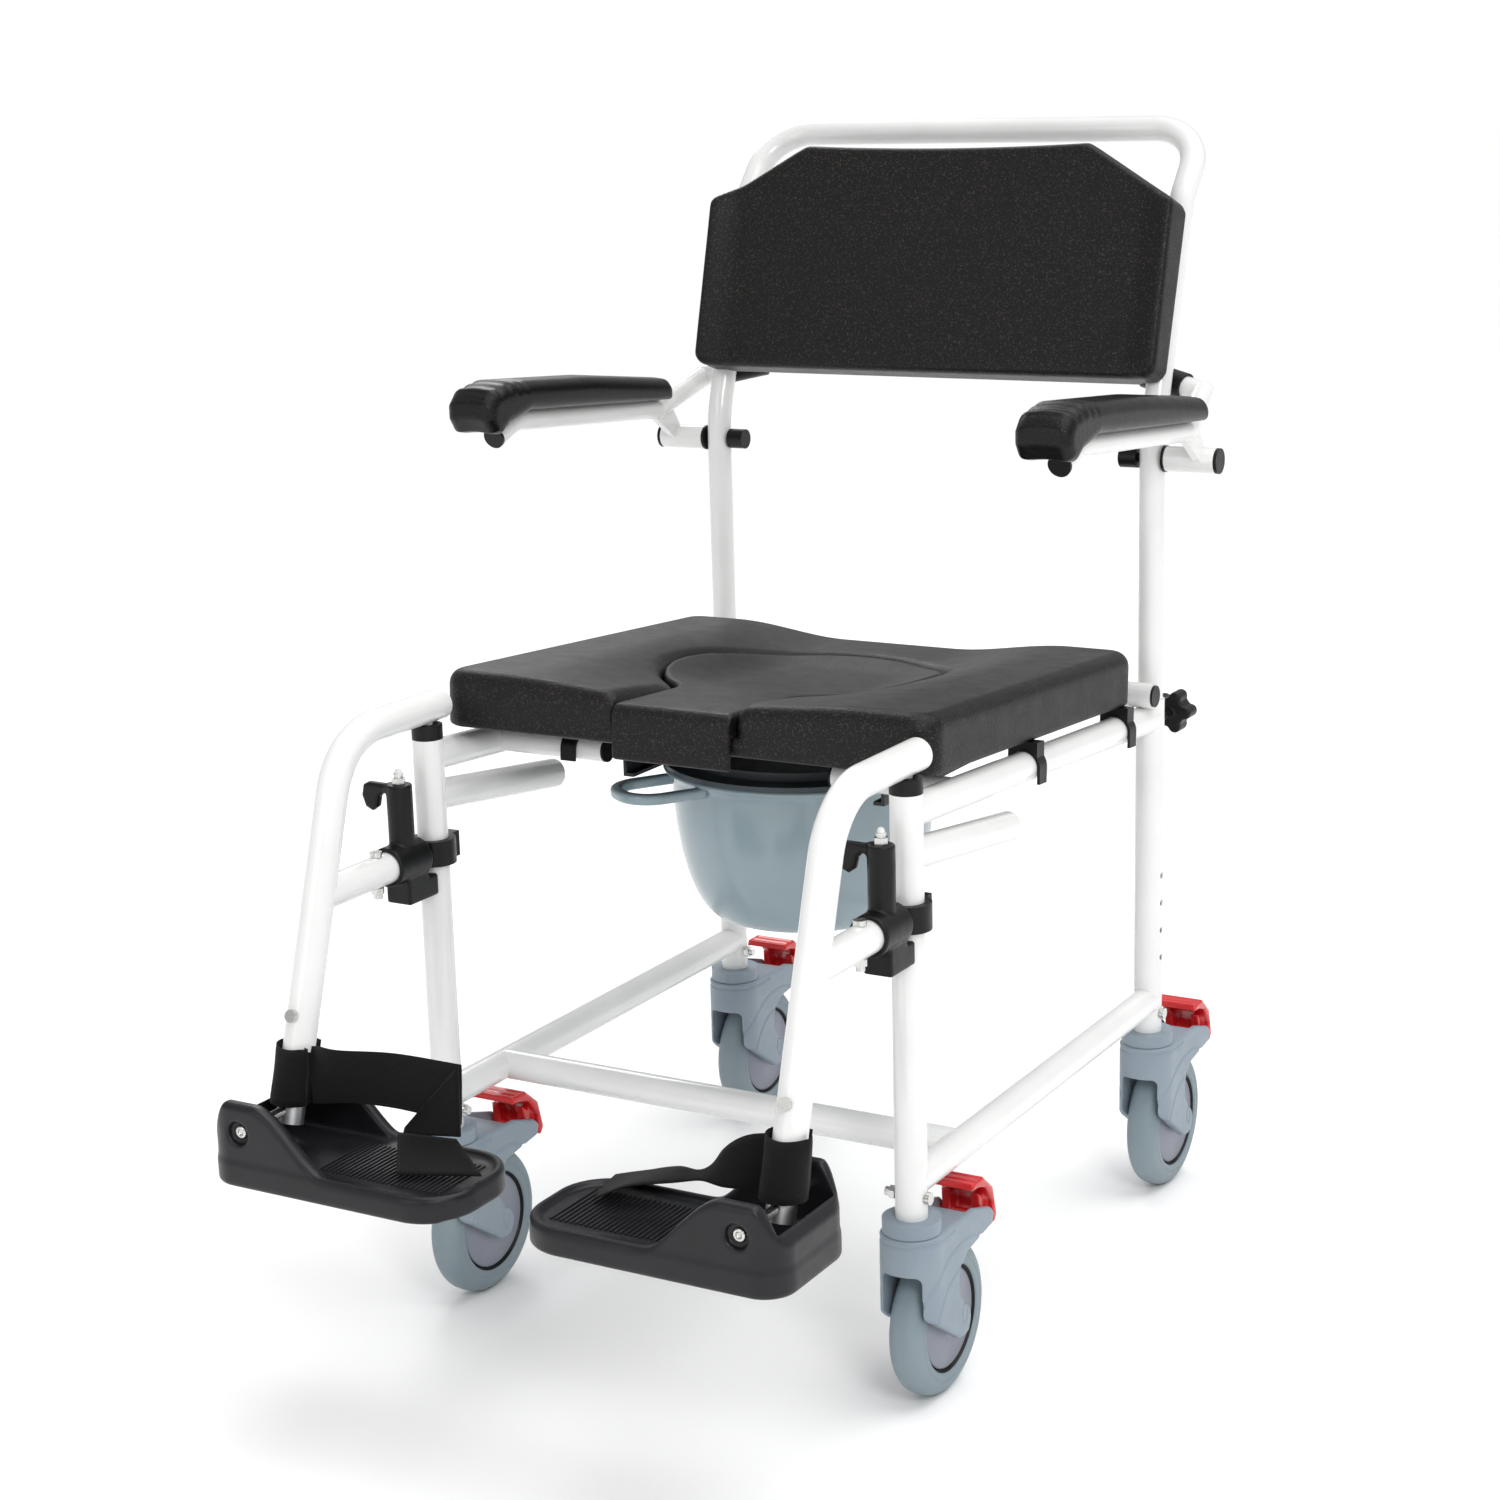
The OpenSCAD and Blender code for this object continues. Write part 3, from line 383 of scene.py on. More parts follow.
paint = whitePaint()
seatFoam = foamSkin("seatFoamSkin", (0.0050, 0.0046, 0.0045), (0.055, 0.047, 0.043), 0.42)
armFoam = foamSkin("armFoamSkin", (0.0030, 0.0030, 0.0032), (0.016, 0.015, 0.015), 0.32)
blackPlastic = mouldedPlastic("blackPlastic", (0.0035, 0.0035, 0.0038), (0.007, 0.007, 0.0075), 0.38,
                              shine=0.25)
plateCharcoal = mouldedPlastic("charcoalPlastic", (0.0075, 0.0075, 0.0095), (0.013, 0.013, 0.016), 0.36,
                               1300, 0.35, shine=0.32)
runnerPlastic = mouldedPlastic("runnerPlastic", (0.02, 0.021, 0.023), (0.03, 0.031, 0.034), 0.45)
panPlastic = mouldedPlastic("panPlastic", (0.270, 0.350, 0.385), (0.285, 0.365, 0.40), 0.20, 300, 0.03, 0.3)
# lid: dark blue-grey, with the shade that falls under the seat painted into its colour
lidPlasticPaintedShade = mouldedPlastic("lidPlasticPaintedShade", (0.045, 0.058, 0.068), (0.06, 0.074, 0.085), 0.38)
casterPlastic = mouldedPlastic("casterPlastic", (0.225, 0.275, 0.325), (0.27, 0.32, 0.365), 0.42)
treadPlastic = mouldedPlastic("treadPlastic", (0.20, 0.255, 0.285), (0.24, 0.295, 0.32), 0.5)
hubPlastic = mouldedPlastic("hubPlastic", (0.235, 0.25, 0.30), (0.27, 0.285, 0.33), 0.42)
pedalPlastic = mouldedPlastic("pedalPlastic", (0.55, 0.008, 0.012), (0.62, 0.02, 0.02), 0.22, 500, 0.08, 0.3)
capPlastic = mouldedPlastic("nutCapPlastic", (0.72, 0.73, 0.72), (0.62, 0.63, 0.62), 0.35)
stainless = steel("stainless", (0.62, 0.62, 0.60), 0.26)
slideMetal = steel("slideMetal", (0.72, 0.73, 0.74), 0.36)
webbing = webbingCloth()
print("stage: materials made")


def paintNode(name, material):
    mesh = frame["nodes"][name].data
    if not mesh.materials:
        mesh.materials.append(material)
    for i in range(len(mesh.materials)):
        mesh.materials[i] = material


def piece(obj, material, body, slot, *nodes):
    obj.data.materials.clear()
    obj.data.materials.append(material)
    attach(obj, body)
    if nodes:
        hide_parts(*nodes)
    return obj


for names, material in (
        (["front_leg_left", "front_leg_right", "rear_leg_left", "rear_leg_right", "lower_rails",
          "upper_rails", "cross_bar", "side_stubs", "seat_stubs", "seat_back_bar", "back_canes",
          "push_bar", "arm_tube_left", "arm_tube_right", "hanger_tube_left", "hanger_tube_right"], paint),
        (["leg_collars", "tube_caps", "arm_pivot_bolts", "seat_clips", "arm_trim_left", "arm_trim_right",
          "latch_block_left", "latch_block_right", "release_lever_left", "release_lever_right",
          "star_knob_left", "star_knob_right"], blackPlastic),
        (["caster_stems"], casterPlastic),
        (["stem_bolts", "hanger_bolts_left", "hanger_bolts_right", "footplate_bolt_left",
          "footplate_bolt_right"], stainless),
        (["bucket_runners"], runnerPlastic),
        (["bucket_lid"], lidPlasticPaintedShade),
        (["extension_tube_left", "extension_tube_right"], slideMetal)):
    for name in names:
        paintNode(name, material)


# Seat and its insert
# Both are drawn in the seat's own tilted frame: x across, u back, w up.

seatSizes = {"step": 0.0026, "corner": 0.022, "topEdge": 0.013, "bottomEdge": 0.003, "holeBack": 0.210,
             "holeRadius": 0.118, "channel": 0.055, "ledge": 0.015, "ledgeHeight": 0.014, "dish": 0.018,
             "dishIn": 0.055, "dishOut": 0.165}
insertSizes = {"step": 0.0022, "gap": 0.0012, "frontDrop": 0.013, "lapOut": 0.0065, "lapLow": 0.011,
               "edge": 0.004, "frontEdge": 0.011}
seatLow, seatHigh = localBox("seat", seatTurn)
holeU = seatLow[1] + seatSizes["holeBack"]


def seatOpening(x, u, grow=0.0):
    ring = length(x, u - holeU) - seatSizes["holeRadius"] - grow
    channel = np.maximum(np.abs(x) - seatSizes["channel"] - grow, u - holeU)
    return softMin(ring, channel, 0.022)


def seatDish(x, u):
    # a trough from front to back, deepest around the opening
    s = seatSizes
    side = 1 - ramp(np.abs(x), s["dishIn"], s["dishOut"])
    along = 0.30 + 0.70 * ramp(u, seatLow[1], holeU - 0.02) - 0.42 * ramp(u, holeU + 0.04, seatHigh[1])
    return s["dish"] * side * along


def seatField(x, u, w):
    s = seatSizes
    outline = rectangle(x, u, seatLow[0], seatHigh[0], seatLow[1], seatHigh[1], s["corner"])
    hole = seatOpening(x, u) + np.where(w < seatLow[2] + s["ledgeHeight"], s["ledge"], 0)
    plan = softMax(outline, -hole, 0.010)
    body = roundMax(plan, w - seatHigh[2] + seatDish(x, u), s["topEdge"])
    return roundMax(body, seatLow[2] - w, s["bottomEdge"])


def insertField(x, u, w):
    s = insertSizes
    middle = ramp(u, seatLow[1] + 0.08, seatLow[1] + 0.17)
    rim = ramp(length(x, u - holeU), 0.07, 0.115) * middle
    drop = s["frontDrop"] * (1 - middle) + (seatDish(x, u) + 0.003) * middle - 0.003 * rim
    top = w - seatHigh[2] + drop
    front = seatLow[1] - s["lapOut"] - u
    plan = seatOpening(x, u, -s["gap"])
    ledge = seatLow[2] + seatSizes["ledgeHeight"] + 0.0004
    bottom = np.where(u < seatLow[1] - 0.0008, seatLow[2] - s["lapLow"], ledge) - w
    crowned = np.maximum(roundMax(plan, top, s["edge"]), roundMax(front, top, s["frontEdge"]))
    return np.maximum(crowned, bottom)


seatPad = fieldMesh("seat_pad", seatLow, seatHigh, seatSizes["step"], seatField, seatTurn)
piece(seatPad, seatFoam, "seat", "upholstery", "seat")
insertLow = np.array([-0.118, seatLow[1] - insertSizes["lapOut"], seatLow[2] - insertSizes["lapLow"]])
insertHigh = np.array([0.118, holeU + 0.118, seatHigh[2]])
insertPad = fieldMesh("insert_pad", insertLow, insertHigh, insertSizes["step"], insertField, seatTurn)
piece(insertPad, seatFoam, "insert", "upholstery", "seat_insert")
print("stage: seat made")


# Backrest
# Its own frame: x across, y up the slope, z from its front face back.

backSizes = {"step": 0.0022, "lean": radians(17.5), "shoulderHeight": 0.054, "shoulderWidth": 0.086,
             "corner": 0.012, "wing": 0.016, "wingStart": 0.196, "dip": 0.004, "frontEdge": 0.007,
             "rearEdge": 0.009, "groove": 0.0117, "tubeFront": 0.0262}
backTurn = Matrix.Rotation(pi / 2 - backSizes["lean"], 4, "X") @ Matrix.Scale(-1, 4, (0, 0, 1))
backLow, backHigh = localBox("backrest", backTurn)


def backField(x, y, z):
    s = backSizes
    r = s["corner"]
    half = backHigh[0] - r
    y0, y1 = backLow[1] + r, backHigh[1] - r
    side, top = y1 - s["shoulderHeight"] + r / 2, half - s["shoulderWidth"] + r / 2
    rise = (y - backLow[1]) / (backHigh[1] - backLow[1])
    sagged = y + s["dip"] * np.clip(1 - (x / 0.15) ** 2, 0, 1) * rise
    corners = [(-half, y0), (half, y0), (half, side), (top, y1), (-top, y1), (-half, side)]
    plan = polygon(x, sagged, corners) - r
    sideways = ramp(np.abs(x), s["wingStart"], backHigh[0] + 0.004)
    wing = s["wing"] * sideways * (0.4 + 0.6 * np.clip(rise, 0, 1))
    body = roundMax(plan, backLow[2] - wing - z, s["frontEdge"])
    body = roundMax(body, z - backHigh[2], s["rearEdge"])
    groove = roundMax(np.abs(np.abs(x) - legX) - s["groove"], backLow[2] + s["tubeFront"] - z, 0.004)
    return softMax(body, -groove, 0.003)


backPad = fieldMesh("back_pad", backLow - [0, 0, backSizes["wing"]], backHigh, backSizes["step"],
                    backField, backTurn)
piece(backPad, seatFoam, "frame", "upholstery", "backrest")
print("stage: backrest made")


# Arm pads
armSizes = {"step": 0.0016, "edge": 0.010, "crown": 0.003, "ribPitch": 0.0125, "ribDepth": 0.0013,
            "ribLength": 0.056}


def armField(low, high):
    front, rear, bottom, top = low[1], high[1], low[2], high[2]
    middle, half = (low[0] + high[0]) / 2, (high[0] - low[0]) / 2
    profile = [(rear, top - 0.0435), (front + 0.066, top - 0.0275), (front + 0.032, top - 0.0355),
               (front + 0.020, bottom), (front + 0.008, bottom + 0.002), (front, top - 0.029),
               (front, top - 0.016), (front + 0.010, top - 0.005), (front + 0.036, top),
               (front + 0.163, top - 0.009), (rear - 0.006, top - 0.024), (rear, top - 0.030)]

    def field(x, y, z):
        s = armSizes
        raised = z + s["crown"] * ((x - middle) / half) ** 2
        shape = roundMax(polygon(y, raised, profile), np.abs(x - middle) - half, s["edge"])
        where = ramp(z, top - 0.016, top - 0.006) * ramp(y, front + 0.004, front + 0.012) \
            * (1 - ramp(y, front + s["ribLength"], front + s["ribLength"] + 0.006))
        return shape + s["ribDepth"] * (0.5 - 0.5 * np.cos(2 * pi * (y - front) / s["ribPitch"])) * where
    return field


low, high = nodeBox("arm_pad_right")
armRight = fieldMesh("arm_cushion_right", low, high, armSizes["step"], armField(low, high))
armLeft = copyOf(armRight, "arm_cushion_left", mirrorX)
for obj, side in ((armRight, "right"), (armLeft, "left")):
    piece(obj, armFoam, "arm_" + side, "arm_foam", "arm_pad_" + side)
print("stage: arm pads made")


# Pan
panSizes = {"floor": 0.072, "wall": 0.003, "lip": 0.007, "lipHeight": 0.004, "turn": radians(-33),
            "handleReach": 0.056, "handleHalf": 0.034, "handleBar": 0.0098, "handleThick": 0.0090}
panLow, panHigh = nodeBox("bucket")
panRadius = float(panHigh[0])
panY = float(panHigh[1]) - panRadius
panTop = float(panHigh[2] - panLow[2])


def panWall(inset, rise, count=26):
    top = panRadius - panSizes["lip"] - inset
    low = panSizes["floor"] - inset
    height = panTop - panSizes["lipHeight"] - rise
    return [(low + (top - low) * sin(pi / 2 * i / count), rise + height * (1 - cos(pi / 2 * i / count)))
            for i in range(count + 1)]


panOutline = [(0, 0.0015), (0.045, 0.0015), (0.047, 0), (panSizes["floor"] - 0.006, 0)] + panWall(0, 0)[1:]
panOutline += [(panRadius - 0.002, panTop - 0.0045), (panRadius - 0.0006, panTop - 0.0038),
               (panRadius, panTop - 0.0025), (panRadius - 0.0004, panTop - 0.001),
                (panRadius - 0.002, panTop)]
panOutline += [(panRadius - panSizes["lip"], panTop), (panRadius - 0.0095, panTop - 0.002)]
panOutline += panWall(panSizes["wall"], panSizes["wall"])[::-1] + [(0, panSizes["wall"])]
pan = lathe("pan_shell", panOutline, (0, panY, float(panLow[2])), steps=128)
piece(pan, panPlastic, "pan", "pan_plastic", "bucket")


def handleField(x, y, z):
    s = panSizes
    a, b = x * cos(s["turn"]) + y * sin(s["turn"]), -x * sin(s["turn"]) + y * cos(s["turn"])
    outer = rectangle(a, b, -s["handleHalf"], s["handleHalf"], -panRadius - s["handleReach"], -0.08, 0.030)
    ring = np.maximum(outer, -outer - s["handleBar"])
    bar = roundMax(ring, slab(z, -s["handleThick"], 0), 0.0028)
    return np.maximum(bar, panRadius - 0.006 - length(x, y))


handleTop = float(panHigh[2]) - panSizes["lipHeight"]
handle = fieldMesh("pan_handle", (-0.14, -0.18, -0.0095), (0.02, -0.06, 0), 0.0012, handleField,
                   Matrix.Translation((0, panY, handleTop)))
piece(handle, panPlastic, "pan", "pan_plastic")
print("stage: pan made")


# Footplates
plateSizes = {"step": 0.0015, "corner": 0.024, "innerCorner": 0.040, "band": 0.020, "tread": 0.0165,
              "rim": 0.007, "skin": 0.0035,
              "frontWall": 0.013, "rearWall": 0.011, "sideWall": 0.008, "sweep": 0.085, "boltRecess": 0.0092,
              "ribPitch": 0.0042, "ribHeight": 0.0012}
plateLow, plateHigh = nodeBox("footplate_right")
hingeX, hingeY, hingeZ = (float(v) for v in jointPlace("footplate_fold_right"))


def plateField(x, y, z):
    s = plateSizes
    base, bandTop = plateLow[2], plateLow[2] + s["band"]
    corner = np.where(x < hingeX - 0.08, s["innerCorner"], s["corner"])
    outline = rectangle(x, y, plateLow[0], plateHigh[0], plateLow[1], plateHigh[1], corner)
    band = roundMax(outline, slab(z, base, bandTop), 0.004)
    well = roundMax(outline + s["rim"], base + s["tread"] - z, 0.002)
    band = softMax(band, -well, 0.002)
    sweep = np.where(x < hingeX, ramp(x, hingeX - s["sweep"], hingeX - 0.012),
                     1 - 0.55 * ramp(x, hingeX + 0.012, plateHigh[0]))
    wallTop = bandTop - 0.003 + (plateHigh[2] - bandTop + 0.003) * sweep
    inner = np.minimum(np.minimum(y - plateLow[1] - s["frontWall"], plateHigh[1] - s["rearWall"] - y),
                       plateHigh[0] - s["sideWall"] - x)
    wall = roundMax(roundMax(roundMax(outline, inner, 0.003), z - wallTop, 0.005), base - z, 0.003)
    shape = softMin(band, wall, 0.004)
    shape = np.maximum(shape, -np.maximum(outline + s["skin"] + 0.004, z - base - s["tread"] + s["skin"]))
    recess = np.maximum(length(x - hingeX, z - hingeZ) - s["boltRecess"], y - plateLow[1] - 0.0055)
    hole = length(x - hingeX, z - hingeZ) - 0.0043
    return np.maximum(softMax(shape, -recess, 0.001), -hole)


plateRight = fieldMesh("foot_tray_right", plateLow, plateHigh, plateSizes["step"], plateField)
plateLeft = copyOf(plateRight, "foot_tray_left", mirrorX)
for obj, side in ((plateRight, "right"), (plateLeft, "left")):
    piece(obj, plateCharcoal, "footplate_" + side, "plate_plastic", "footplate_" + side)

boltSizes = {"head": 0.0052, "socket": 0.0026, "socketDepth": 0.0026, "shaft": 0.0040, "headHeight": 0.0042}


def hingeBolt(name, x, y0, y1):
    s = boltSizes
    outline = [(0, s["socketDepth"]), (s["socket"], s["socketDepth"]), (s["socket"], 0.0004),
               (s["socket"] + 0.0004, 0), (s["head"] - 0.0010, 0.0002), (s["head"] - 0.0002, 0.0008),
               (s["head"], 0.0014), (s["head"], s["headHeight"]),
               (s["shaft"], s["headHeight"]), (s["shaft"], y1 - y0 - 0.0005), (s["shaft"] - 0.0005, y1 - y0),
               (0, y1 - y0)]
    return lathe(name, outline, (x, y0, hingeZ), "Y", 48)


boltLow, boltHigh = nodeBox("footplate_bolt_right")
for side in sides:
    bolt = hingeBolt("plate_bolt_" + side, sides[side] * hingeX, float(boltLow[1]) + 0.0025,
                     float(boltHigh[1]))
    piece(bolt, stainless, "extension_" + side, "steel", "footplate_bolt_" + side)
print("stage: footplates made")


# Geometry nodes: a row of bars, used for the tread
def rowTree():
    # instances a small bar along X, with its count, pitch and size as inputs
    tree = bpy.data.node_groups.new("barRow", "GeometryNodeTree")
    kinds = {"Count": "Int", "Pitch": "Float", "Size": "Vector", "Start": "Vector", "Material": "Material"}
    for name, kind in kinds.items():
        tree.interface.new_socket(name, in_out="INPUT", socket_type="NodeSocket" + kind)
    tree.interface.new_socket("Geometry", in_out="OUTPUT", socket_type="NodeSocketGeometry")
    add = tree.nodes.new
    source, out = add("NodeGroupInput").outputs, add("NodeGroupOutput").inputs
    line, bar, step = add("GeometryNodeMeshLine"), add("GeometryNodeMeshCube"), add("ShaderNodeCombineXYZ")
    spread, real = add("GeometryNodeInstanceOnPoints"), add("GeometryNodeRealizeInstances")
    paintIt = add("GeometryNodeSetMaterial")
    for a, b in ((source["Count"], line.inputs["Count"]), (source["Start"], line.inputs["Start Location"]),
                 (source["Pitch"], step.inputs["X"]), (step.outputs[0], line.inputs["Offset"]),
                 (source["Size"], bar.inputs["Size"]), (line.outputs["Mesh"], spread.inputs["Points"]),
                 (bar.outputs["Mesh"], spread.inputs["Instance"]), (spread.outputs[0], real.inputs[0]),
                 (real.outputs[0], paintIt.inputs["Geometry"]),
                 (source["Material"], paintIt.inputs["Material"]), (paintIt.outputs[0], out[0])):
        tree.links.new(a, b)
    return tree


def grown(name, tree, values):
    # runs a tree on an empty mesh and keeps the result as a plain mesh
    holder = bpy.data.objects.new(name + "_holder", bpy.data.meshes.new(name))
    bpy.context.scene.collection.objects.link(holder)
    modifier = holder.modifiers.new("nodes", "NODES")
    modifier.node_group = tree
    for item in tree.interface.items_tree:
        if item.in_out == "INPUT" and item.name in values:
            modifier[item.identifier] = values[item.name]
    graph = bpy.context.evaluated_depsgraph_get()
    mesh = bpy.data.meshes.new_from_object(holder.evaluated_get(graph))
    mesh.name = name
    bpy.data.objects.remove(holder)
    obj = bpy.data.objects.new(name, mesh)
    bpy.context.scene.collection.objects.link(obj)
    return obj


treadStart, treadEnd = float(plateLow[0]) + 0.022, hingeX - 0.050
treadDepth = float(plateHigh[1] - plateLow[1]) - 0.044
treadRight = grown("foot_tread_right", rowTree(), {
    "Count": int((treadEnd - treadStart) / plateSizes["ribPitch"]), "Pitch": plateSizes["ribPitch"],
    "Size": (plateSizes["ribPitch"] * 0.5, treadDepth, plateSizes["ribHeight"] * 2),
    "Start": (treadStart, float(plateLow[1] + plateHigh[1]) / 2, float(plateLow[2]) + plateSizes["tread"]),
    "Material": plateCharcoal})
bevel = treadRight.modifiers.new("soft", "BEVEL")
bevel.width = 0.0005
bevel.segments = 2
treadLeft = copyOf(treadRight, "foot_tread_left", mirrorX)
treadLeft.modifiers.new("soft", "BEVEL").width = 0.0005
piece(treadRight, plateCharcoal, "footplate_right", "plate_plastic")
piece(treadLeft, plateCharcoal, "footplate_left", "plate_plastic")
print("stage: tread made")


# Clamps, levers and knobs
def softened(node, name, step, passes):
    # the node's own shape with its edges rounded off, by blurring its distance field
    source = frame["nodes"][node].data
    source.calc_loop_triangles()
    triangles = np.empty(len(source.loop_triangles) * 3, np.int32)
    source.loop_triangles.foreach_get("vertices", triangles)
    low, high = (np.array(v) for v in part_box(node))
    band = passes + 4
    points = ((nodePoints(node) - low) / step + band).astype(np.float32)
    corners = triangles.reshape(-1, 3).astype(np.uint32)
    grid = openvdb.FloatGrid.createLevelSetFromPolygons(points, triangles=corners, halfWidth=float(band))
    values = np.zeros(tuple(np.ceil((high - low) / step).astype(int) + 2 * band + 1), np.float32)
    grid.copyToArray(values, ijk=(0, 0, 0))
    for _ in range(passes):
        for axis in range(3):
            values = (np.roll(values, 1, axis) + 2 * values + np.roll(values, -1, axis)) / 4
    soft = openvdb.FloatGrid(background=1.0)
    soft.copyFromArray(np.ascontiguousarray(values))
    points, _, quads = soft.convertToPolygons(isovalue=0.0, adaptivity=0.0)
    points = (points - band) * step + low
    return newObject(name, points, facingOut(points, quads))


softSizes = {"step": 0.0008, "passes": 3}
leverSizes = {"step": 0.0007, "hub": 0.0105, "hubDepth": 0.027, "hubEdge": 0.0018, "thick": 0.0085,
              "edge": 0.0034, "reach": 0.036, "join": 0.004, "bore": 0.0038}
capOutline = [(0, 0.0042), (0.0016, 0.0038), (0.0026, 0.0026), (0.0032, 0), (0.0040, 0), (0.0040, -0.0016),
              (0, -0.0016)]


def leverField(x, y, z):
    # seen from the front: a hub on the post, a neck and a drooping paddle to the left
    s = leverSizes
    outline = [(-0.034, -0.003), (-0.036, -0.012), (-0.0325, -0.0215), (-0.026, -0.0245), (-0.0205, -0.0205),
               (-0.0185, -0.012), (-0.0145, -0.0085), (-0.005, -0.0095), (-0.005, -0.001), (-0.029, -0.0005)]
    paddle = roundMax(polygon(x, z, outline), np.abs(y) - s["thick"] / 2, s["edge"])
    hub = roundMax(length(x, y) - s["hub"], slab(z, -s["hubDepth"], 0.0), s["hubEdge"])
    return softMax(softMin(paddle, hub, s["join"]), s["bore"] - length(x, y), 0.0006)


leverTop = float(nodeBox("release_lever_right")[1][2])
for side in sides:
    turn = jointPlace("lever_turn_" + side)
    for node, name, body in (("latch_block_", "clamp_", "hanger_"), ("star_knob_", "knob_", "star_knob_")):
        part = softened(node + side, name + side, softSizes["step"], softSizes["passes"])
        piece(part, blackPlastic, body + side, "black_plastic", node + side)
    s = leverSizes
    lever = fieldMesh("lever_" + side, (-s["reach"], -s["hub"], -s["hubDepth"]), (s["hub"], s["hub"], 0),
                      s["step"], leverField, Matrix.Translation((turn[0], turn[1], leverTop)))
    piece(lever, blackPlastic, "lever_" + side, "black_plastic", "release_lever_" + side)
    boltTop = float(nodeBox("hanger_bolts_" + side)[1][2])
    cap = lathe("nut_cap_" + side, capOutline, (turn[0], turn[1], boltTop), steps=32)
    piece(cap, capPlastic, "hanger_" + side, "steel")
print("stage: clamps made")


# Casters
# Drawn once at the front right corner's place, then copied: y runs back from the swivel.

forkSizes = {"step": 0.0011, "cheekIn": 0.0168, "cheekOut": 0.025, "edge": 0.0026, "room": 0.0655,
             "boss": 0.0125, "line": 0.0012, "lineWidth": 0.0021, "lineOut": 0.0675, "lineIn": 0.0480,
             "mouthTop": 0.120, "rearSlot": 0.052}
wheelSizes = {"half": 0.014, "round": 0.0115, "gapOut": 0.0430, "gapIn": 0.0405, "gapDepth": 0.0045,
              "hubFace": 0.0118, "boss": 0.0125, "bossFace": 0.0150}
axle = jointPlace("wheel_spin_fr")
pin = jointPlace("pedal_press_fr")
swivelY = float(jointPlace("caster_swivel_fr")[1])
trail, axleZ, wheelR = float(axle[1]) - swivelY, float(axle[2]), float(axle[2])
pinY, pinZ = float(pin[1]) - swivelY, float(pin[2])
neckTop = float(nodeBox("caster_fork_fr")[1][2])


def groove(x, width):
    return forkSizes["line"] * (1 - ramp(np.abs(x), 0, width))


def forkField(x, y, z):
    s = forkSizes
    top = neckTop
    cheek = [(-0.0255, top), (-0.0255, 0.094), (-0.021, 0.088), (trail - 0.007, axleZ - 0.012),
             (trail + 0.008, axleZ - 0.011), (trail + 0.007, axleZ + 0.008), (trail - 0.008, axleZ + 0.028),
             (trail - 0.007, axleZ + 0.042), (trail + 0.006, axleZ + 0.055), (pinY - 0.020, pinZ - 0.010),
             (pinY + 0.003, pinZ - 0.007), (pinY + 0.006, pinZ + 0.002), (pinY, pinZ + 0.008),
             (pinY - 0.030, top - 0.001), (0.022, top)]
    away = length(y - trail, z - axleZ)
    flat = softMin(polygon(y, z, cheek), away - s["boss"], 0.004)
    plan = np.where(y < 0, length(x, y), np.abs(x)) - s["cheekOut"]
    body = roundMax(flat, plan, s["edge"])
    body = body + groove(away - s["lineOut"], s["lineWidth"]) + groove(away - s["lineIn"], s["lineWidth"])
    body = body + groove(length((y - trail) / 0.5, z - axleZ - 0.006) - 0.0085, s["lineWidth"])
    body = body + groove(z - top + 0.005, s["lineWidth"]) * (y < 0.024)
    mouth = rectangle(x, z, -s["cheekIn"], s["cheekIn"], -0.1, s["mouthTop"], 0.006)
    front = np.maximum(mouth, y - 0.030)
    rear = np.maximum(np.abs(x) - s["cheekIn"] - 0.003, s["rearSlot"] - y)
    room = np.maximum(away - s["room"], np.abs(x) - s["cheekIn"])
    return softMax(softMax(softMax(body, -room, 0.001), -front, 0.001), -rear, 0.001)


forkBase = fieldMesh("caster_fork_shape", (-0.026, -0.026, axleZ - 0.018), (0.026, pinY + 0.008, neckTop),
                     forkSizes["step"], forkField)


def wheelOutline():
    s = wheelSizes
    h, r = s["half"], s["round"]
    side = [(0.0, s["bossFace"]), (s["boss"] - 0.0012, s["bossFace"]), (s["boss"], s["bossFace"] - 0.001),
            (s["boss"] + 0.0006, s["hubFace"] + 0.0006), (s["boss"] + 0.002, s["hubFace"]),
            (s["gapIn"] - 0.0012, s["hubFace"]), (s["gapIn"], s["hubFace"] - 0.001),
            (s["gapIn"], h - s["gapDepth"]), (s["gapOut"], h - s["gapDepth"]), (s["gapOut"], h - 0.001),
            (s["gapOut"] + 0.001, h), (0.0492, h), (0.0497, h - 0.0004), (0.0502, h)]
    shoulder = arc(wheelR - r, h - r, r, 90, 0, 8)
    half = side + shoulder
    return half + [(a, -b) for a, b in half[::-1]]


wheelBase = lathe("wheel_shape", wheelOutline(), (0, trail, axleZ), "X", 96)


def wheelFaces(obj, move):
    # the inner disc takes the second material and the gap round it the third
    s = wheelSizes
    for face in obj.data.polygons:
        c = face.center
        away = length(c.y - trail - move[1], c.z - axleZ)
        inGap = s["gapIn"] - 0.0002 < away < s["gapOut"] + 0.0002
        inGap = inGap and abs(c.x - move[0]) < s["half"] - 0.0012
        face.material_index = 2 if inGap else 1 if away < s["gapIn"] else 0


pedalSizes = {"step": 0.0011, "half": 0.022, "edge": 0.0022, "ribDepth": 0.0009, "ribPitch": 0.009,
              "webIn": 0.009, "webOut": 0.0165, "pin": 0.0026, "pinHalf": 0.0238}


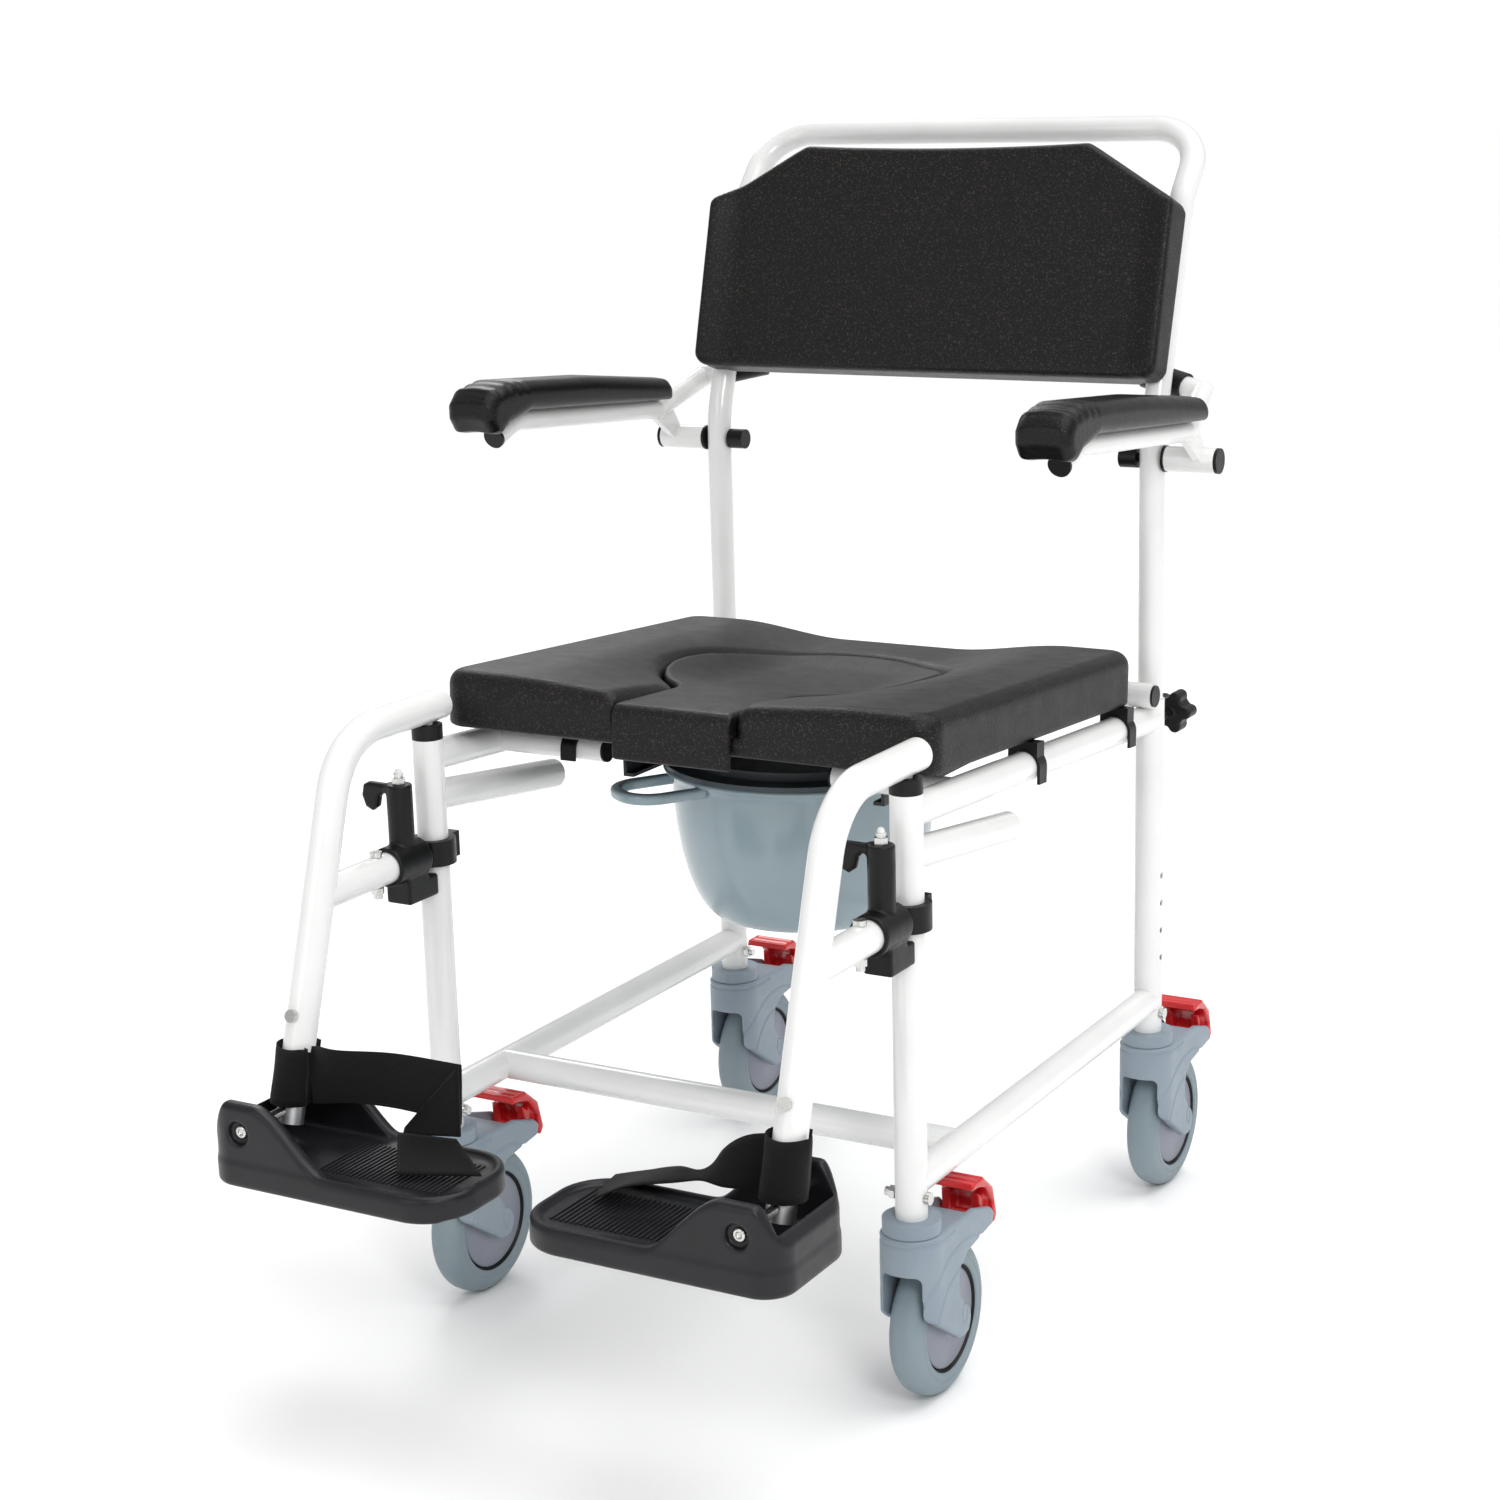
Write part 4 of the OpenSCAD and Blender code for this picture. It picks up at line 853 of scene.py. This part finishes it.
def pedalField(x, y, z):
    # a bent plate with fine ribs on its top, two webs under it and the pin
    s = pedalSizes
    outline = [(-0.029, 0.030), (-0.026, 0.036), (-0.008, 0.036), (0.010, 0.021), (0.017, -0.004),
               (0.0125, -0.0105), (0.0085, -0.008), (0.009, 0.009), (-0.004, 0.025), (-0.016, 0.029)]
    webOutline = [(-0.006, 0.020), (-0.005, -0.003), (0, -0.005), (0.005, -0.003), (0.010, -0.003),
                  (0.010, 0.012)]
    a, b = y - pinY, z - pinZ
    plate = roundMax(polygon(a, b, outline), np.abs(x) - s["half"], s["edge"])
    wave = s["ribDepth"] * (0.5 - 0.5 * np.cos(2 * pi * (a + b) / s["ribPitch"]))
    ribs = wave * ramp(b, 0.018, 0.026) * (np.abs(x) < 0.019)
    web = roundMax(polygon(a, b, webOutline), slab(np.abs(x), s["webIn"], s["webOut"]), 0.0012)
    pinBar = np.maximum(length(a, b) - s["pin"], np.abs(x) - s["pinHalf"])
    return softMin(softMin(plate + ribs, web, 0.002), pinBar, 0.001)


pedalBase = fieldMesh("pedal_shape", (-0.024, pinY - 0.036, pinZ - 0.011),
                      (0.024, pinY + 0.019, pinZ + 0.038), pedalSizes["step"], pedalField)
pedalBase.data.materials.append(pedalPlastic)

for corner in corners:
    swivel = jointPlace("caster_swivel_" + corner)
    move = Matrix.Translation((swivel[0], swivel[1], 0))
    fork = copyOf(forkBase, "fork_cover_" + corner, move)
    piece(fork, casterPlastic, "swivel_" + corner, "caster_plastic", "caster_fork_" + corner)
    wheel = copyOf(wheelBase, "wheel_body_" + corner, move)
    piece(wheel, treadPlastic, "wheel_" + corner, "wheel_plastic", "wheel_" + corner)
    for material in (hubPlastic, blackPlastic):
        wheel.data.materials.append(material)
    wheelFaces(wheel, swivel)
    pedal = copyOf(pedalBase, "pedal_shell_" + corner, move)
    piece(pedal, pedalPlastic, "pedal_" + corner, "pedal_red", "brake_pedal_" + corner)
for obj in (forkBase, wheelBase, pedalBase):
    bpy.data.objects.remove(obj)
print("stage: casters made")


# Heel straps
strapSizes = {"thickness": 0.0019, "perSpan": 10, "across": 8, "tube": 0.0163, "panelCells": 12,
              "bow": 0.0016}


def curveThrough(points, perSpan):
    # smooth curve through the given points
    p = np.array(points, float)
    p = np.vstack([2 * p[0] - p[1], p, 2 * p[-1] - p[-2]])
    out = []
    for i in range(1, len(p) - 2):
        for k in range(perSpan):
            t = k / perSpan
            out.append(0.5 * (2 * p[i] + (p[i + 1] - p[i - 1]) * t
                              + (2 * p[i - 1] - 5 * p[i] + 4 * p[i + 1] - p[i + 2]) * t * t
                              + (3 * p[i] - p[i - 1] - 3 * p[i + 1] + p[i + 2]) * t ** 3))
    out.append(p[-2])
    return np.array(out)


def weaveObject(name, points, faces, uv):
    # a mesh with its own UV map in metres, for the weave
    obj = newObject(name, points, faces)
    layer = obj.data.uv_layers.new(name="weave")
    for loop in obj.data.loops:
        layer.data[loop.index].uv = uv[loop.vertex_index]
    fixNormals(obj)
    return obj


def ribbon(name, stations):
    # stations: (x, y, z) of the middle, (x, y, z) across the band, width
    flat = [(*place, *across, width) for place, across, width in stations]
    rows = curveThrough(flat, strapSizes["perSpan"])
    middle, width = rows[:, :3], rows[:, 6]
    across = rows[:, 3:6] / np.linalg.norm(rows[:, 3:6], axis=1)[:, None]
    along = np.gradient(middle, axis=0)
    along /= np.linalg.norm(along, axis=1)[:, None]
    across -= along * np.einsum("ij,ij->i", across, along)[:, None]
    across /= np.linalg.norm(across, axis=1)[:, None]
    normal = np.cross(along, across)
    run = np.concatenate([[0], np.cumsum(np.linalg.norm(np.diff(middle, axis=0), axis=1))])
    n, m, t = len(rows), strapSizes["across"], strapSizes["thickness"] / 2
    points, faces, uv = [], [], {}
    for side in (1, -1):
        for i in range(n):
            for k in range(m + 1):
                v = (k / m - 0.5) * width[i]
                edge = 1 - 0.55 * abs(2 * k / m - 1) ** 6
                uv[len(points)] = (run[i], v)
                points.append(middle[i] + across[i] * v + normal[i] * t * side * edge)
    size = n * (m + 1)

    def at(i, k, back):
        return back * size + i * (m + 1) + k
    for i in range(n - 1):
        for k in range(m):
            a, b, c, d = at(i, k, 0), at(i + 1, k, 0), at(i + 1, k + 1, 0), at(i, k + 1, 0)
            faces += [(a, b, c, d), (a + size, d + size, c + size, b + size)]
        for k in (0, m):
            faces.append((at(i, k, 0), at(i, k, 1), at(i + 1, k, 1), at(i + 1, k, 0)))
    for i in (0, n - 1):
        for k in range(m):
            faces.append((at(i, k, 0), at(i, k + 1, 0), at(i, k + 1, 1), at(i, k, 1)))
    return weaveObject(name, points, faces, uv), float(run[-1])


def panel(name, corners):
    # a flat piece of strap between four corners, given round its edge
    a, b, c, d = (np.array(v, float) for v in corners)
    normal = np.cross(b - a, d - a)
    normal *= strapSizes["thickness"] / 2 / np.linalg.norm(normal)
    n, points, faces, uv = strapSizes["panelCells"], [], [], {}
    for side in (1, -1):
        for i in range(n + 1):
            for k in range(n + 1):
                u, v = i / n, k / n
                place = (a * (1 - u) + d * u) * (1 - v) + (b * (1 - u) + c * u) * v
                bow = strapSizes["bow"] * sin(pi * u) * sin(pi * v)
                uv[len(points)] = (u * np.linalg.norm(d - a), v * np.linalg.norm(b - a))
                points.append(place + normal * (side + bow * 2 / strapSizes["thickness"]))
    size = (n + 1) ** 2
    for i in range(n):
        for k in range(n):
            q = [i * (n + 1) + k, (i + 1) * (n + 1) + k, (i + 1) * (n + 1) + k + 1, i * (n + 1) + k + 1]
            faces += [tuple(q), tuple(v + size for v in q[::-1])]
    rim = [(i, 0) for i in range(n)] + [(n, k) for k in range(n)] + [(i, n) for i in range(n, 0, -1)] \
        + [(0, k) for k in range(n, 0, -1)]
    rim = [i * (n + 1) + k for i, k in rim]
    for p, q in zip(rim, rim[1:] + rim[:1]):
        faces.append((p, q, q + size, p + size))
    return weaveObject(name, points, faces, uv), float(np.linalg.norm((c + d - a - b) / 2))


def tubeAt(side, z):
    # middle of the footrest's sliding tube at a height
    lean = slideAxis[1] / slideAxis[2]
    return np.array([sides[side] * legX, hingeY + lean * (z - hingeZ), z])


def loopStations(side, z, width, start, turn, count=10):
    # a band round the tube
    centre, tube = tubeAt(side, z), strapSizes["tube"]
    up = -np.array(slideAxis)
    out = []
    for i in range(count + 1):
        a = radians(start + turn * i / count)
        place = centre + tube * np.array([cos(a), sin(a), 0])
        out.append((place, up, width))
    return out


trayTop = plateLow[2] + plateSizes["tread"] + plateSizes["ribHeight"] + 0.0015
leftStations = loopStations("left", hingeZ + 0.026, 0.044, 60, 300)
leftStations += [((-legX + 0.045, hingeY + 0.006, hingeZ + 0.030), (0, -0.15, 1), 0.045),
                 ((-legX + 0.095, hingeY + 0.012, hingeZ + 0.032), (0, -0.08, 1), 0.046),
                 ((-legX + 0.151, hingeY + 0.016, hingeZ + 0.029), (0.02, 0, 1), 0.048)]
foldX, foldY, foldZ = -legX + 0.151, hingeY + 0.016, hingeZ + 0.053
leftPanels = [[(foldX, foldY - 0.002, foldZ), (foldX, foldY - 0.004, foldZ - 0.056),
               (foldX - 0.052, foldY - 0.006, foldZ - 0.062), (foldX - 0.050, foldY - 0.006, foldZ - 0.056)],
              [(foldX - 0.054, foldY - 0.010, foldZ - 0.060), (foldX - 0.002, foldY - 0.006, foldZ - 0.058),
               (foldX + 0.034, foldY - 0.026, trayTop + 0.004),
                (foldX - 0.026, foldY - 0.050, trayTop + 0.003)]]
rightStations = loopStations("right", hingeZ + 0.026, 0.044, 60, 330)
rightTail = [((legX - 0.012, hingeY + 0.020, hingeZ + 0.022), (0.1, 0, 1), 0.042),
             ((legX - 0.036, hingeY + 0.024, hingeZ + 0.016), (0.25, 0, 1), 0.040),
             ((legX - 0.062, hingeY + 0.026, hingeZ + 0.006), (0.45, 0.3, 0.8), 0.028),
             ((legX - 0.084, hingeY + 0.026, hingeZ - 0.003), (0.3, 0.9, 0.35), 0.013),
             ((legX - 0.106, hingeY + 0.024, hingeZ - 0.006), (0, 1, 0.1), 0.028),
             ((legX - 0.132, hingeY + 0.020, hingeZ - 0.012), (-0.2, 1, -0.1), 0.042),
             ((legX - 0.158, hingeY + 0.016, trayTop + 0.002), (-0.35, 1, 0), 0.042)]
strapParts = {"left": ([leftStations], leftPanels), "right": ([rightStations, rightTail], [])}
for side, (ribbons, panels) in strapParts.items():
    made = [ribbon("strap_run", stations) for stations in ribbons]
    made += [panel("strap_panel", c) for c in panels]
    made = [obj for obj, _ in made]
    with bpy.context.temp_override(active_object=made[0], selected_editable_objects=made):
        bpy.ops.object.join()
    strap = made[0]
    strap.name = "heel_webbing_" + side
    piece(strap, webbing, "extension_" + side, "webbing", "heel_strap_" + side)
    "foot_tray_" + side
    "footplate_fold_" + side
    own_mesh(strap)
print("stage: straps made")


# Floor, light and camera
stageSizes = {"reach": 40, "seenStrength": 1.02, "litStrength": 0.50, "sunEnergy": 2.0, "sunAngle": 60,
              "sunTurn": (-12, 14, 0)}
areaLights = {"keyLight": ((2.2, -2.0, 2.2), 1.2, 38), "rimLight": ((-1.8, 2.0, 2.4), 1.4, 24),
              "frontLight": ((-0.6, -3.0, 1.6), 1.6, 14)}
cameraSizes = {"azimuth": 29.67, "elevation": 13.96, "roll": -1.41, "lens": 66.516, "sensor": 36,
               "shiftX": -0.0207, "shiftY": 0.0134, "x": 1.1135, "beforeLegs": 1.7583, "height": 1.0045}


def addObject(name, data):
    obj = bpy.data.objects.new(name, data)
    bpy.context.scene.collection.objects.link(obj)
    return obj


def whiteWorld():
    # pure white behind the chair, and a softer white for its light
    world = bpy.data.worlds.new("studio")
    bpy.context.scene.world = world
    world.use_nodes = True
    add, link = world.node_tree.nodes.new, world.node_tree.links.new
    pick, path = add("ShaderNodeMixShader"), add("ShaderNodeLightPath")
    link(path.outputs["Is Camera Ray"], pick.inputs[0])
    for slot, strength in ((1, stageSizes["litStrength"]), (2, stageSizes["seenStrength"])):
        background = add("ShaderNodeBackground")
        background.inputs["Color"].default_value = (1, 1, 1, 1)
        background.inputs["Strength"].default_value = strength
        link(background.outputs[0], pick.inputs[slot])
    link(pick.outputs[0], world.node_tree.nodes["World Output"].inputs["Surface"])


def studio():
    whiteWorld()
    reach = stageSizes["reach"]
    mesh = bpy.data.meshes.new("floor")
    mesh.from_pydata([(-reach, -reach, 0), (reach, -reach, 0), (reach, reach, 0), (-reach, reach, 0)], [],
                     [(0, 1, 2, 3)])
    floor = addObject("floor", mesh)
    s = Shader("paleFloor")
    tone = s.mix(s.range(s.noise(0.6, 2), 0.3, 0.7), (0.95, 0.95, 0.95), (0.93, 0.93, 0.93))
    mesh.materials.append(s.surface(tone, 0.7, Specular_IOR_Level=0.1))
    sun = bpy.data.lights.new("overheadLight", "SUN")
    sun.energy, sun.angle = stageSizes["sunEnergy"], radians(stageSizes["sunAngle"])
    addObject("overheadLight", sun).rotation_euler = [radians(v) for v in stageSizes["sunTurn"]]
    for name, (place, size, power) in areaLights.items():
        light = bpy.data.lights.new(name, "AREA")
        light.shape = "DISK"
        light.size = size
        light.energy = power
        obj = addObject(name, light)
        obj.location = place
        obj.rotation_euler = (Vector((0, 0, 0.5)) - Vector(place)).to_track_quat("-Z", "Y").to_euler()


def camera():
    s = cameraSizes
    azimuth, elevation, roll = (radians(s[key]) for key in ("azimuth", "elevation", "roll"))
    right = Vector((cos(azimuth), sin(azimuth), 0))
    back = Vector((sin(azimuth) * cos(elevation), -cos(azimuth) * cos(elevation), sin(elevation)))
    up = back.cross(right)
    rolledRight = right * cos(roll) + up * sin(roll)
    rolledUp = up * cos(roll) - right * sin(roll)
    data = bpy.data.cameras.new("camera")
    data.lens, data.sensor_width = s["lens"], s["sensor"]
    data.shift_x, data.shift_y = s["shiftX"], s["shiftY"]
    obj = addObject("camera", data)
    place = Matrix.Translation((s["x"], frontY - s["beforeLegs"], s["height"]))
    obj.matrix_world = place @ Matrix((rolledRight, rolledUp, back)).transposed().to_4x4()
    bpy.context.scene.camera = obj


studio()
camera()
bpy.context.scene.view_settings.view_transform = "Standard"
